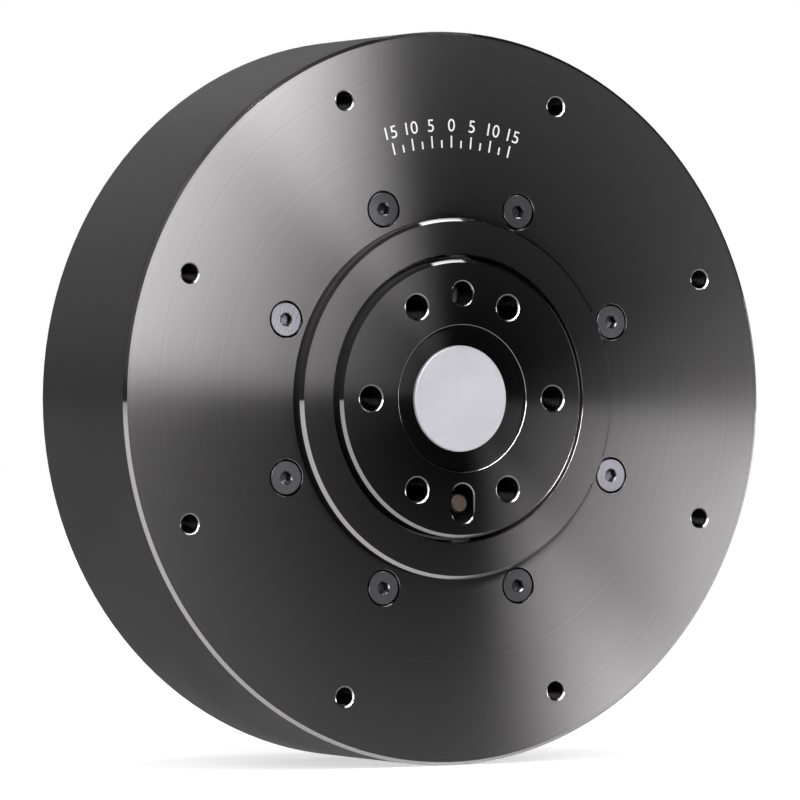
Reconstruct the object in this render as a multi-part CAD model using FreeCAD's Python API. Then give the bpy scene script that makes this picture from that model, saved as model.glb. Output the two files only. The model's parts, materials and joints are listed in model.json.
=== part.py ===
import FreeCAD, Part
import math
import os
from collections import namedtuple
from FreeCAD import Vector

# A robot joint actuator: a flat outer-rotor motor built round a one-stage planetary gearbox.
# Lengths are in millimetres. Every axis of rotation runs along Y, +Y points to the back, +Z is up,
# and the plane y = 0 is the front mounting face. Angles are in degrees, from +X towards +Z,
# so they grow anticlockwise for someone who faces the front.

# Clearances
PRESS_GAP = 0.01        # on radius, between pieces that are pressed or glued together
RUN_GAP = 0.03          # on radius, between a journal and the bore that it turns in
SIDE_GAP = 0.4          # between end faces that turn past each other
HEAD_GAP = 0.08         # round a sunk screw head

BAR_SIDES = 12          # of small hidden pieces that repeat

# An M3 screw: radii, width of the hexagon key, and depth of its socket.
# A thread is drawn as a plain cylinder, as thick as its pitch circle.
Screw = namedtuple("Screw", "thread clear head key socket")
M3 = Screw(thread=1.34, clear=1.6, head=2.7, key=2.0, socket=1.1)
M4_THREAD = 1.77

# Gears
MODULE = 0.6
PRESSURE = math.radians(20.0)
SUN_TEETH = 10
PLANET_TEETH = 35
PLANET_COUNT = 3
PLANET_FIRST = 30.0
SHIFT = 0.4             # profile shift: outwards on the sun, inwards on the planets
ADDENDUM = 1.0
DEDENDUM = 1.25
BACKLASH = 0.05         # taken off each tooth of the sun and planets, and added to each space of the ring
GEAR_WIDTH = 7.6
RING_OVERHANG = 0.7     # the ring gear is this much longer than the planets, at the back
RING_INNER_WALL = 1.35  # between the tooth roots and the threaded holes of the ring gear
RING_OUTER_WALL = 1.76  # between those holes and the outside

# Front housing: a plate with a wall behind it and a raised collar round the output
PLATE = 5.0
WALL = 3.7
RIM_CHAMFER = 0.6
COLLAR_PROUD = 2.2
COLLAR_CHAMFER = 0.6
COLLAR_WALL = 2.1       # outside the bearing
MOUNT_EDGE = 6.35       # from the rim to the circle of tapped holes that hold the actuator
MOUNT_COUNT = 8
MOUNT_FLOOR = 0.6
MOUNT_FIRST = 22.5
CLAMP_EDGE = 0.4        # from the collar to the heads of the sunk screws that hold the ring gear
CLAMP_COUNT = 8
CLAMP_FIRST = 22.5
CLAMP_GRIP = 6.0        # length of thread in the ring gear

# Output flange and its bearing
FLANGE_SHOULDER = 1.05  # the flange is this much larger than its journal
FLANGE_PROUD = 3.0
FLANGE_CHAMFER = 0.5
LIP_GAP = 0.7           # the dark ring between the flange and the collar
BEARING_WIDTH = 5.0
RACE = 1.4              # thickness of a bearing ring
ROLLER_TRACK = 1.7      # between the two rings
ROLLER_COUNT = 12
OUTPUT_EDGE = 3.5       # from the journal to the circle of threaded holes
OUTPUT_COUNT = 6
OUTPUT_DEPTH = 6.5
DOWEL_R = 1.6
DOWEL_DEPTH = 4.0
SIGHT_WIDTH = 3.4       # the slot through which a planet pin shows
SIGHT_LENGTH = 5.3
RECESS_LAND = 2.43      # between the recess and the threaded holes
RECESS_DEPTH = 0.9
CAP_LEDGE = 2.7         # between the cap and the edge of the recess
CAP_STEP = 0.4          # the cap stands this far above the floor of its recess
CAP_THICK = 2.0

# Planet carrier
CARRIER_GAP = 0.76      # from the tips of the ring gear's teeth
CARRIER_CORNER = 5.0
CARRIER_FRONT = 2.7     # thickness of the two carrier plates
CARRIER_REAR = 2.4
PIN_R = 2.0
POST_R = 2.8
POST_EDGE = 3.7         # from the corners of the carrier to the middle of its posts
SUN_HOLE_GAP = 0.7

# Sun shaft
PILOT_R = 2.0
PILOT_BEARING_R = 5.5
PILOT_BEARING_WIDTH = 3.0
SHAFT_R = 4.0

# Stator
SLOT_COUNT = 24
CORE_YOKE = 2.6
TOOTH_LENGTH = 5.675
TOOTH_WIDTH = 4.2
TOOTH_TIP = 1.4
SLOT_MOUTH = 2.0
COIL_END = 2.5
COIL_SPACE = 0.5        # between two coils
COIL_GAP = 0.1          # slot liner between a coil and its tooth
COIL_FRONT_CLEAR = 0.9  # from the housing plate to the coils
COIL_BACK_CLEAR = 0.7   # from the coils to the disc of the rotor

# Rotor
AIR_GAP = 0.4
MAGNET_COUNT = 28
MAGNET_THICK = 2.0
MAGNET_SPACE = 0.75     # between two magnets, on the inside
YOKE = 2.3
ROTOR_GAP = 0.4         # between the rotor and the wall
ROTOR_DISC = 1.8
ROTOR_FRONT_GAP = 0.4
ROTOR_BACK_GAP = 0.7
DISC_CLEAR = 0.5
HUB_R = 6.5
HUB_LENGTH = 2.2

# Phase leads: flat strips that run round the rotor in a channel of the wall
LEAD_COUNT = 3
LEAD_WIDTH = 2.0
LEAD_THICK = 0.8
LEAD_PITCH = 3.0
LEAD_ANGLE = 270.0
LEAD_INSET = 1.7        # from the edge of the board
CHANNEL_DEPTH = 1.9
CHANNEL_SIDE = 1.0      # air on each side of the row of leads

# Rear housing
REAR_PLATE = 2.5
BOSS_WALL = 2.5
REAR_BEARING_R = 8.0
REAR_BEARING_WIDTH = 4.0
REAR_SHOULDER = 0.6

# Rear cover
COVER_STEP = 7.0        # from the rim of the body to the cover
COVER_WALL = 1.8
COVER_CHAMFER = 1.2

# Driver board
BOARD_GAP = 2.2         # from the cover to the edge of the board
BOARD_SIDES = 24
BOARD_THICK = 1.2
BOARD_AIR = 1.6
ENCODER_GAP = 0.5
ENCODER_MAGNET_R = 3.0
ENCODER_MAGNET = 1.2
ENCODER_CHIP = 0.8
ENCODER_CHIP_SIDE = 4.0
BOARD_POST_COUNT = 4
BOARD_POST_R = 2.2
BOARD_POST_INSET = 4.0
BOARD_POST_FIRST = 45.0
SWITCH_COUNT = 6
SWITCH_FIRST = 0.0
SWITCH_INSET = 13.0
SWITCH_SIZE = (5.0, 6.0, 1.1)      # along the radius, across it, and height
CAPACITOR_COUNT = 3
CAPACITOR_FIRST = 30.0
CAPACITOR_INSET = 18.0
CAPACITOR_SIZE = (6.0, 5.0, 2.8)

# Sockets in the side of the rear cover
SOCKET_ANGLE = 90.0
SOCKET_LENGTH = 9.0
SOCKET_SET_BACK = 0.3
SOCKET_GAP = 0.2
CUT_PAST = 1.0          # how far a cut runs on past each side of the wall that it opens
POWER_WIDTH = 10.4
POWER_TALL = 5.2
POWER_PITCH = 5.0
CONTACT_R = 1.1
CONTACT_DEPTH = 6.0
SIGNAL_WIDTH = 6.0
SIGNAL_TALL = 3.4
SIGNAL_MOUTH = 1.6
SIGNAL_DEPTH = 3.5
SIGNAL_TURN = 22.0      # from the power socket to each signal socket

# Radii that follow, from the gears outwards and from the gears inwards to the output
RING_TEETH = SUN_TEETH + 2 * PLANET_TEETH
RING_ROOT = MODULE * (RING_TEETH / 2 + DEDENDUM - SHIFT)
RING_TIP = MODULE * (RING_TEETH / 2 - ADDENDUM - SHIFT)
CENTRE_DISTANCE = MODULE * (SUN_TEETH + PLANET_TEETH) / 2
CARRIER_R = RING_TIP - CARRIER_GAP
POST_CIRCLE = CARRIER_R - POST_EDGE
CLAMP_CIRCLE = RING_ROOT + RING_INNER_WALL + M3.thread
RING_OUTER_R = CLAMP_CIRCLE + M3.thread + RING_OUTER_WALL
STATOR_IN = RING_OUTER_R + PRESS_GAP
SLOT_FLOOR = STATOR_IN + CORE_YOKE
TIP_R = SLOT_FLOOR + TOOTH_LENGTH
STATOR_R = TIP_R + TOOTH_TIP
MAGNET_IN = STATOR_R + AIR_GAP
MAGNET_WIDTH = 2 * MAGNET_IN * math.tan(math.pi / MAGNET_COUNT) - MAGNET_SPACE
YOKE_IN = math.hypot(MAGNET_IN + MAGNET_THICK, MAGNET_WIDTH / 2) + PRESS_GAP
ROTOR_R = YOKE_IN + YOKE
CAVITY_R = ROTOR_R + ROTOR_GAP
BODY_R = CAVITY_R + WALL
MOUNT_CIRCLE = BODY_R - MOUNT_EDGE
COLLAR_R = CLAMP_CIRCLE - M3.head - CLAMP_EDGE
BEARING_R = COLLAR_R - COLLAR_WALL
RACE_OUT = BEARING_R - RACE
RACE_IN = RACE_OUT - ROLLER_TRACK
JOURNAL_R = RACE_IN - RACE
ROLLER_R = ROLLER_TRACK / 2 - RUN_GAP
FLANGE_R = JOURNAL_R + FLANGE_SHOULDER
LIP_R = FLANGE_R + LIP_GAP
OUTPUT_CIRCLE = JOURNAL_R - OUTPUT_EDGE
RECESS_R = OUTPUT_CIRCLE - M4_THREAD - RECESS_LAND
CAP_R = RECESS_R - CAP_LEDGE
COVER_R = BODY_R - COVER_STEP
BOARD_R = COVER_R - COVER_WALL - BOARD_GAP
LEAD_INNER_R = BOARD_R - LEAD_INSET
LEAD_OUTER_R = CAVITY_R + CHANNEL_DEPTH / 2
CHANNEL_WIDTH = (LEAD_COUNT - 1) * LEAD_PITCH + LEAD_WIDTH + 2 * CHANNEL_SIDE
BOSS_R = REAR_BEARING_R + BOSS_WALL
SOCKET_OUTER = COVER_R - SOCKET_SET_BACK

# Places along the axis that follow, from the front to the back
RECESS_FLOOR = RECESS_DEPTH - FLANGE_PROUD
CAP_FRONT = RECESS_FLOOR - CAP_STEP
CAP_BACK = CAP_FRONT + CAP_THICK
BEARING_BACK = PLATE
BEARING_FRONT = PLATE - BEARING_WIDTH
JOURNAL_END = BEARING_BACK + SIDE_GAP
PILOT_FRONT = JOURNAL_END - PILOT_BEARING_WIDTH
CARRIER_BACK = JOURNAL_END + CARRIER_FRONT
GEAR_FRONT = CARRIER_BACK + SIDE_GAP
GEAR_BACK = GEAR_FRONT + GEAR_WIDTH
RING_END = GEAR_BACK + RING_OVERHANG
REAR_CARRIER_FRONT = GEAR_BACK + SIDE_GAP
REAR_CARRIER_BACK = REAR_CARRIER_FRONT + CARRIER_REAR
DISC_FRONT = REAR_CARRIER_BACK + DISC_CLEAR
ROTOR_BACK = DISC_FRONT + ROTOR_DISC
HUB_BACK = ROTOR_BACK + HUB_LENGTH
WALL_END = ROTOR_BACK + ROTOR_BACK_GAP
BODY_END = WALL_END + REAR_PLATE
STATOR_FRONT = PLATE + COIL_FRONT_CLEAR + COIL_END
STATOR_BACK = DISC_FRONT - COIL_BACK_CLEAR - COIL_END
LEAD_FRONT = PLATE + COIL_FRONT_CLEAR + LEAD_THICK
LEAD_TURN = WALL_END + LEAD_THICK
ROTOR_FRONT = LEAD_FRONT + LEAD_THICK / 2 + ROTOR_FRONT_GAP
SEAT_FRONT = HUB_BACK + SIDE_GAP
SEAT_BACK = SEAT_FRONT + REAR_BEARING_WIDTH
BOSS_BACK = SEAT_BACK + REAR_SHOULDER
SHAFT_END = BOSS_BACK
CHIP_FRONT = SHAFT_END + ENCODER_MAGNET + ENCODER_GAP
BOARD_FRONT = CHIP_FRONT + ENCODER_CHIP
BOARD_BACK = BOARD_FRONT + BOARD_THICK
COVER_FLOOR = BOARD_BACK + BOARD_AIR
COVER_BACK = COVER_FLOOR + COVER_WALL

ORIGIN = Vector(0, 0, 0)
BACKWARD = Vector(0, 1, 0)
FORWARD = Vector(0, -1, 0)
PLANET_ANGLES = [PLANET_FIRST + 360.0 * index / PLANET_COUNT for index in range(PLANET_COUNT)]
POST_ANGLES = [angle + 180.0 / PLANET_COUNT for angle in PLANET_ANGLES]


def at(out, degrees, y):
    """The point at a radius, an angle and a depth."""
    angle = math.radians(degrees)
    return Vector(out * math.cos(angle), y, out * math.sin(angle))


def every(count, first):
    """Evenly spaced angles."""
    return [first + 360.0 * index / count for index in range(count)]


def rod(radius, front, back, out=0.0, degrees=0.0):
    """A cylinder along the axis."""
    return Part.makeCylinder(radius, back - front, at(out, degrees, front), BACKWARD)


def turned(*corners):
    """A lathe-turned body from the corners (radius, y) of its half section."""
    points = [Vector(radius, y, 0) for radius, y in corners]
    return Part.Face(Part.makePolygon(points + points[:1])).revolve(ORIGIN, BACKWARD, 360)


def tube(outer, inner, front, back):
    """A plain ring."""
    return turned((inner, front), (outer, front), (outer, back), (inner, back))


def bar(radius, front, back, out, degrees):
    """A twelve-sided bar along the axis, for a small hidden piece that repeats."""
    centre = at(out, degrees, 0)
    corners = [centre + at(radius, angle, 0) for angle in every(BAR_SIDES, degrees)]
    return prism([(corner.x, corner.z) for corner in corners], front, back)


def swung(shape, degrees):
    """The shape turned about the axis, anticlockwise as seen from the front."""
    copy = shape.copy()
    copy.rotate(ORIGIN, FORWARD, degrees)
    return copy


def block(inner, outer, front, back, width, degrees, aside=0.0):
    """A box that points outwards at an angle, and may stand aside of the line through the axis."""
    size = (outer - inner, back - front, width)
    return swung(Part.makeBox(*size, Vector(inner, front, aside - width / 2)), degrees)


def prism(corners, front, back):
    """A bar along the axis, with the corners (x, z) of its section."""
    points = [Vector(x, front, z) for x, z in corners]
    return Part.Face(Part.makePolygon(points + points[:1])).extrude(Vector(0, back - front, 0))


def hexagon(key, front, back, out, degrees):
    """A six-sided bar, as wide across its flats as its key."""
    centre = at(out, degrees, 0)
    corners = [centre + at(key / math.sqrt(3), angle, 0) for angle in every(6, degrees)]
    return prism([(corner.x, corner.z) for corner in corners], front, back)


def sunk_hole(screw, out, degrees, front, back):
    """A hole for a sunk screw through a plate."""
    wide = screw.head + HEAD_GAP
    cone = Part.makeCone(wide, screw.clear, wide - screw.clear, at(out, degrees, front), BACKWARD)
    return cone.fuse(bar(screw.clear, front, back, out, degrees))


def sunk_screw(screw, out, degrees, front, back):
    """A sunk screw with a hexagon socket, flush with its face."""
    shank = screw.thread - PRESS_GAP
    cone = Part.makeCone(screw.head, shank, screw.head - shank, at(out, degrees, front), BACKWARD)
    body = cone.fuse(bar(shank, front, back, out, degrees))
    return body.cut(hexagon(screw.key, front, front + screw.socket, out, degrees)).removeSplitter()


def involute(angle):
    return math.tan(angle) - angle


def half_tooth(teeth, shift, thinned, radius):
    """Half the angle of an involute tooth at a radius, in radians. Below the base circle its flank is radial."""
    pitch_r = MODULE * teeth / 2
    base_r = pitch_r * math.cos(PRESSURE)
    on_pitch = (math.pi / 2 + 2 * shift * math.tan(PRESSURE)) / teeth - thinned / (2 * pitch_r)
    angle = math.acos(min(1.0, base_r / radius))
    return on_pitch + involute(PRESSURE) - involute(angle)


def tooth_outline(teeth, shift, thinned, root, tip, steps, first):
    """The corners (x, z) of a gear with its first tooth at an angle. Each flank has points on the involute."""
    radii = [root + (tip - root) * step / steps for step in range(steps + 1)]
    corners = []
    for middle in every(teeth, first):
        for side, flank in ((-1, radii), (1, radii[::-1])):
            for radius in flank:
                angle = middle + side * math.degrees(half_tooth(teeth, shift, thinned, radius))
                point = at(radius, angle, 0)
                corners.append((point.x, point.z))
    return corners


def ring_space_from(degrees):
    """The angle from a direction to the nearest space of the ring gear."""
    pitch = 360.0 / RING_TEETH
    return round(degrees / pitch) * pitch - degrees


def planet_tooth(degrees):
    """The angle of a tooth of the planet at a place, in mesh with the ring."""
    return degrees + ring_space_from(degrees) * RING_TEETH / PLANET_TEETH


def sun_tooth():
    """The angle of a tooth of the sun, in mesh with the first planet."""
    pitch = 360.0 / PLANET_TEETH
    inward = PLANET_FIRST + 180.0
    tooth = planet_tooth(PLANET_FIRST)
    offset = round((inward - tooth) / pitch) * pitch - (inward - tooth)
    space = PLANET_FIRST - offset * PLANET_TEETH / SUN_TEETH
    return space + 180.0 / SUN_TEETH


def gear_radii(teeth, shift):
    """Root and tip radius of an outside gear."""
    return MODULE * (teeth / 2 - DEDENDUM + shift), MODULE * (teeth / 2 + ADDENDUM + shift)


def channel():
    """Room for the phase leads: a groove in the wall, and a groove and a door in the rear plate."""
    outer = CAVITY_R + CHANNEL_DEPTH
    inner = LEAD_INNER_R - 2 * LEAD_THICK
    wall = block(CAVITY_R - CHANNEL_SIDE, outer, PLATE, WALL_END, CHANNEL_WIDTH, LEAD_ANGLE)
    plate = block(inner, outer, WALL_END, LEAD_TURN + LEAD_THICK, CHANNEL_WIDTH, LEAD_ANGLE)
    door = block(inner, inner + 4 * LEAD_THICK, WALL_END, BODY_END, CHANNEL_WIDTH, LEAD_ANGLE)
    return [wall, plate, door]


def front_housing():
    body = turned(
        (LIP_R, -COLLAR_PROUD),
        (COLLAR_R - COLLAR_CHAMFER, -COLLAR_PROUD),
        (COLLAR_R, COLLAR_CHAMFER - COLLAR_PROUD),
        (COLLAR_R, 0),
        (BODY_R - RIM_CHAMFER, 0),
        (BODY_R, RIM_CHAMFER),
        (BODY_R, WALL_END),
        (CAVITY_R, WALL_END),
        (CAVITY_R, PLATE),
        (BEARING_R + PRESS_GAP, PLATE),
        (BEARING_R + PRESS_GAP, BEARING_FRONT),
        (LIP_R, BEARING_FRONT),
    )
    cuts = [channel()[0]]
    for angle in every(MOUNT_COUNT, MOUNT_FIRST):
        cuts.append(rod(M3.thread, 0, PLATE - MOUNT_FLOOR, MOUNT_CIRCLE, angle))
    for angle in every(CLAMP_COUNT, CLAMP_FIRST):
        cuts.append(sunk_hole(M3, CLAMP_CIRCLE, angle, 0, PLATE))
    return body.cut(cuts)


def front_screws():
    back = PLATE + CLAMP_GRIP
    return [sunk_screw(M3, CLAMP_CIRCLE, angle, 0, back) for angle in every(CLAMP_COUNT, CLAMP_FIRST)]


def ring_gear():
    """The spaces of the ring are the teeth of a gear of the same size."""
    spaces = tooth_outline(RING_TEETH, -SHIFT, -BACKLASH, RING_TIP, RING_ROOT, 2, 0.0)
    cuts = [prism(spaces, PLATE, RING_END)]
    for angle in every(CLAMP_COUNT, CLAMP_FIRST):
        cuts.append(bar(M3.thread, PLATE, PLATE + CLAMP_GRIP, CLAMP_CIRCLE, angle))
    return rod(RING_OUTER_R, PLATE, RING_END).cut(cuts)


def planet_gear(degrees):
    root, tip = gear_radii(PLANET_TEETH, -SHIFT)
    outline = tooth_outline(PLANET_TEETH, -SHIFT, BACKLASH, root, tip, 2, planet_tooth(degrees))
    gear = prism(outline, GEAR_FRONT, GEAR_BACK)
    gear.translate(at(CENTRE_DISTANCE, degrees, 0))
    return gear.cut(rod(PIN_R + RUN_GAP, GEAR_FRONT, GEAR_BACK, CENTRE_DISTANCE, degrees))


def sun_gear():
    root, tip = gear_radii(SUN_TEETH, SHIFT)
    teeth = prism(
        tooth_outline(SUN_TEETH, SHIFT, BACKLASH, root, tip, 3, sun_tooth()), GEAR_FRONT, GEAR_BACK
    )
    pilot = rod(PILOT_R, PILOT_FRONT, GEAR_FRONT)
    shaft = rod(SHAFT_R, GEAR_BACK, SHAFT_END)
    return pilot.fuse([teeth, shaft])


def output_flange():
    seat_r = PILOT_BEARING_R + PRESS_GAP
    body = turned(
        (0, CAP_BACK),
        (CAP_R + PRESS_GAP, CAP_BACK),
        (CAP_R + PRESS_GAP, RECESS_FLOOR),
        (RECESS_R, RECESS_FLOOR),
        (RECESS_R, -FLANGE_PROUD),
        (FLANGE_R - FLANGE_CHAMFER, -FLANGE_PROUD),
        (FLANGE_R, FLANGE_CHAMFER - FLANGE_PROUD),
        (FLANGE_R, BEARING_FRONT),
        (JOURNAL_R - PRESS_GAP, BEARING_FRONT),
        (JOURNAL_R - PRESS_GAP, JOURNAL_END),
        (seat_r, JOURNAL_END),
        (seat_r, PILOT_FRONT),
        (0, PILOT_FRONT),
    )
    cuts = [rod(DOWEL_R, -FLANGE_PROUD, DOWEL_DEPTH - FLANGE_PROUD, OUTPUT_CIRCLE, 90)]
    for angle in every(OUTPUT_COUNT, 0):
        cuts.append(rod(M4_THREAD, -FLANGE_PROUD, OUTPUT_DEPTH - FLANGE_PROUD, OUTPUT_CIRCLE, angle))
    reach = (SIGHT_LENGTH - SIGHT_WIDTH) / 2
    front, back = -FLANGE_PROUD, JOURNAL_END
    cuts.append(block(OUTPUT_CIRCLE - reach, OUTPUT_CIRCLE + reach, front, back, SIGHT_WIDTH, 270))
    cuts.append(rod(SIGHT_WIDTH / 2, front, back, OUTPUT_CIRCLE - reach, 270))
    cuts.append(rod(SIGHT_WIDTH / 2, front, back, OUTPUT_CIRCLE + reach, 270))
    return body.cut(cuts)


def centre_cap():
    return rod(CAP_R, CAP_FRONT, CAP_BACK)


def bearing_outer_ring():
    return tube(BEARING_R, RACE_OUT, BEARING_FRONT, BEARING_BACK)


def bearing_inner_ring():
    return tube(RACE_IN, JOURNAL_R, BEARING_FRONT, BEARING_BACK)


def bearing_rollers():
    edge = RACE / 2
    circle = (RACE_IN + RACE_OUT) / 2
    front, back = BEARING_FRONT + edge, BEARING_BACK - edge
    return [bar(ROLLER_R, front, back, circle, angle) for angle in every(ROLLER_COUNT, 0)]


def carrier_plate(front, back, hole):
    """A six-cornered plate with rounded corners, and holes for the planet pins."""
    corners = [at(CARRIER_R, angle, 0) for angle in every(2 * PLANET_COUNT, PLANET_FIRST)]
    plate = prism([(corner.x, corner.z) for corner in corners], front, back)
    uprights = [edge for edge in plate.Edges if abs(edge.tangentAt(edge.FirstParameter).y) > 0.9]
    plate = plate.makeFillet(CARRIER_CORNER, uprights)
    pins = [rod(PIN_R + PRESS_GAP, front, back, CENTRE_DISTANCE, angle) for angle in PLANET_ANGLES]
    return plate.cut(pins + [rod(hole, front, back)])


def carrier_front():
    plate = carrier_plate(JOURNAL_END, CARRIER_BACK, PILOT_BEARING_R - RACE)
    posts = [rod(POST_R, CARRIER_BACK, REAR_CARRIER_FRONT, POST_CIRCLE, angle) for angle in POST_ANGLES]
    return plate.fuse(posts)


def carrier_rear():
    return carrier_plate(REAR_CARRIER_FRONT, REAR_CARRIER_BACK, SHAFT_R + SUN_HOLE_GAP)


def planet_pins():
    return [rod(PIN_R, JOURNAL_END, REAR_CARRIER_BACK, CENTRE_DISTANCE, angle) for angle in PLANET_ANGLES]


def sun_bearing():
    return tube(PILOT_BEARING_R, PILOT_R + RUN_GAP, PILOT_FRONT, JOURNAL_END)


def rotor_bell():
    bore = SHAFT_R + PRESS_GAP
    return turned(
        (bore, DISC_FRONT),
        (YOKE_IN, DISC_FRONT),
        (YOKE_IN, ROTOR_FRONT),
        (ROTOR_R, ROTOR_FRONT),
        (ROTOR_R, ROTOR_BACK),
        (HUB_R, ROTOR_BACK),
        (HUB_R, HUB_BACK),
        (bore, HUB_BACK),
    )


def rotor_magnets():
    """Flat bars, each with its outer corners on the inside of the bell."""
    outer = MAGNET_IN + MAGNET_THICK
    return [
        block(MAGNET_IN, outer, STATOR_FRONT, STATOR_BACK, MAGNET_WIDTH, angle)
        for angle in every(MAGNET_COUNT, 0)
    ]


def slot(degrees):
    """One slot of the stator, with the parallel sides of two teeth and a narrow mouth."""
    half = math.radians(180.0 / SLOT_COUNT)
    low = SLOT_FLOOR * math.sin(half) - TOOTH_WIDTH / 2
    high = TIP_R * math.sin(half) - TOOTH_WIDTH / 2
    mouth = SLOT_MOUTH / 2
    shoulder = TIP_R + (high - mouth) / 2
    section = [(SLOT_FLOOR, low), (TIP_R, high), (shoulder, mouth), (STATOR_R + mouth, mouth)]
    corners = section + [(out, -side) for out, side in reversed(section)]
    return swung(prism(corners, STATOR_FRONT, STATOR_BACK), degrees)


def stator_core():
    blank = tube(STATOR_R, STATOR_IN, STATOR_FRONT, STATOR_BACK)
    return blank.cut([slot(angle) for angle in every(SLOT_COUNT, 180.0 / SLOT_COUNT)])


def stator_coils():
    """A winding round the neck of each tooth, as one closed loop."""
    inner, outer = SLOT_FLOOR + COIL_GAP, TIP_R - COIL_GAP
    eye = TOOTH_WIDTH + 2 * COIL_GAP
    width = 2 * inner * math.tan(math.pi / SLOT_COUNT) - COIL_SPACE
    coils = []
    for angle in every(SLOT_COUNT, 0):
        loop = block(inner, outer, STATOR_FRONT - COIL_END, STATOR_BACK + COIL_END, width, angle)
        core = block(inner, outer, STATOR_FRONT - COIL_GAP, STATOR_BACK + COIL_GAP, eye, angle)
        coils.append(loop.cut(core))
    return coils


def phase_leads():
    """Each lead leaves a coil, runs out over the rotor, back along the wall, in again, and on to the board."""
    half = LEAD_THICK / 2
    start = TIP_R - COIL_GAP
    leads = []
    for index in range(LEAD_COUNT):
        aside = (index - (LEAD_COUNT - 1) / 2) * LEAD_PITCH
        runs = [
            (start, LEAD_OUTER_R + half, LEAD_FRONT - half, LEAD_FRONT + half),
            (LEAD_OUTER_R - half, LEAD_OUTER_R + half, LEAD_FRONT - half, LEAD_TURN + half),
            (LEAD_INNER_R - half, LEAD_OUTER_R + half, LEAD_TURN - half, LEAD_TURN + half),
            (LEAD_INNER_R - half, LEAD_INNER_R + half, LEAD_TURN - half, BOARD_FRONT),
        ]
        strips = [block(*run, LEAD_WIDTH, LEAD_ANGLE, aside) for run in runs]
        leads.append(strips[0].fuse(strips[1:]).removeSplitter())
    return leads


def rear_housing():
    seat_r = REAR_BEARING_R + PRESS_GAP
    body = turned(
        (seat_r, WALL_END),
        (BODY_R, WALL_END),
        (BODY_R, BODY_END - RIM_CHAMFER),
        (BODY_R - RIM_CHAMFER, BODY_END),
        (BOSS_R, BODY_END),
        (BOSS_R, BOSS_BACK),
        (REAR_BEARING_R - RACE, BOSS_BACK),
        (REAR_BEARING_R - RACE, SEAT_BACK),
        (seat_r, SEAT_BACK),
    )
    posts = [
        bar(BOARD_POST_R, BODY_END, BOARD_FRONT, BOARD_R - BOARD_POST_INSET, angle)
        for angle in every(BOARD_POST_COUNT, BOARD_POST_FIRST)
    ]
    return body.fuse(posts).cut(channel()[1:])


def rear_bearing():
    return tube(REAR_BEARING_R, SHAFT_R + RUN_GAP, SEAT_FRONT, SEAT_BACK)


def encoder_magnet():
    return rod(ENCODER_MAGNET_R, SHAFT_END, SHAFT_END + ENCODER_MAGNET)


def encoder_chip():
    side = ENCODER_CHIP_SIDE
    return Part.makeBox(side, ENCODER_CHIP, side, Vector(-side / 2, CHIP_FRONT, -side / 2))


def driver_board():
    corners = [at(BOARD_R, angle, 0) for angle in every(BOARD_SIDES, 0)]
    return prism([(corner.x, corner.z) for corner in corners], BOARD_FRONT, BOARD_BACK)


def on_board(size, inset, degrees):
    """A block on the front of the board, with its middle at a distance from the board's edge."""
    deep, wide, tall = size
    middle = BOARD_R - inset
    return block(middle - deep / 2, middle + deep / 2, BOARD_FRONT - tall, BOARD_FRONT, wide, degrees)


def board_components():
    """Power switches and capacitors."""
    parts = []
    for angle in every(SWITCH_COUNT, SWITCH_FIRST):
        parts.append(on_board(SWITCH_SIZE, SWITCH_INSET, angle))
    for angle in every(CAPACITOR_COUNT, CAPACITOR_FIRST):
        parts.append(on_board(CAPACITOR_SIZE, CAPACITOR_INSET, angle))
    return parts


def power_socket():
    """A block with two round contacts that open outwards."""
    front = BOARD_FRONT - POWER_TALL
    body = block(SOCKET_OUTER - SOCKET_LENGTH, SOCKET_OUTER, front, BOARD_FRONT, POWER_WIDTH, SOCKET_ANGLE)
    middle = front + POWER_TALL / 2
    for side in (-1, 1):
        start = Vector(side * POWER_PITCH / 2, middle, SOCKET_OUTER - CONTACT_DEPTH)
        body = body.cut(Part.makeCylinder(CONTACT_R, CONTACT_DEPTH, start, Vector(0, 0, 1)))
    return body


def signal_sockets():
    front = BOARD_FRONT - SIGNAL_TALL
    middle = front + SIGNAL_TALL / 2
    sockets = []
    for angle in (SOCKET_ANGLE - SIGNAL_TURN, SOCKET_ANGLE + SIGNAL_TURN):
        body = block(SOCKET_OUTER - SOCKET_LENGTH, SOCKET_OUTER, front, BOARD_FRONT, SIGNAL_WIDTH, angle)
        low, high = middle - SIGNAL_MOUTH / 2, middle + SIGNAL_MOUTH / 2
        mouth_width = SIGNAL_WIDTH - SIGNAL_MOUTH
        mouth = block(SOCKET_OUTER - SIGNAL_DEPTH, SOCKET_OUTER, low, high, mouth_width, angle)
        sockets.append(body.cut(mouth))
    return sockets


def rear_cover():
    inner = COVER_R - COVER_WALL
    body = turned(
        (inner, BODY_END),
        (COVER_R, BODY_END),
        (COVER_R, COVER_BACK - COVER_CHAMFER),
        (COVER_R - COVER_CHAMFER, COVER_BACK),
        (0, COVER_BACK),
        (0, COVER_FLOOR),
        (inner, COVER_FLOOR),
    )
    power_front = BOARD_FRONT - POWER_TALL - SOCKET_GAP
    signal_front = BOARD_FRONT - SIGNAL_TALL - SOCKET_GAP
    back = BOARD_FRONT + SOCKET_GAP
    through = (inner - CUT_PAST, COVER_R + CUT_PAST)
    cuts = [block(*through, power_front, back, POWER_WIDTH + 2 * SOCKET_GAP, SOCKET_ANGLE)]
    for angle in (SOCKET_ANGLE - SIGNAL_TURN, SOCKET_ANGLE + SIGNAL_TURN):
        cuts.append(block(*through, signal_front, back, SIGNAL_WIDTH + 2 * SOCKET_GAP, angle))
    return body.cut(cuts)


def save(name, shape):
    solids = shape if isinstance(shape, list) else [shape]
    result = solids[0] if len(solids) == 1 else Part.makeCompound(solids)
    if not result.isValid():
        raise ValueError(name + " is not a valid solid")
    result.exportStep("parts/" + name + ".step")


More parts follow.
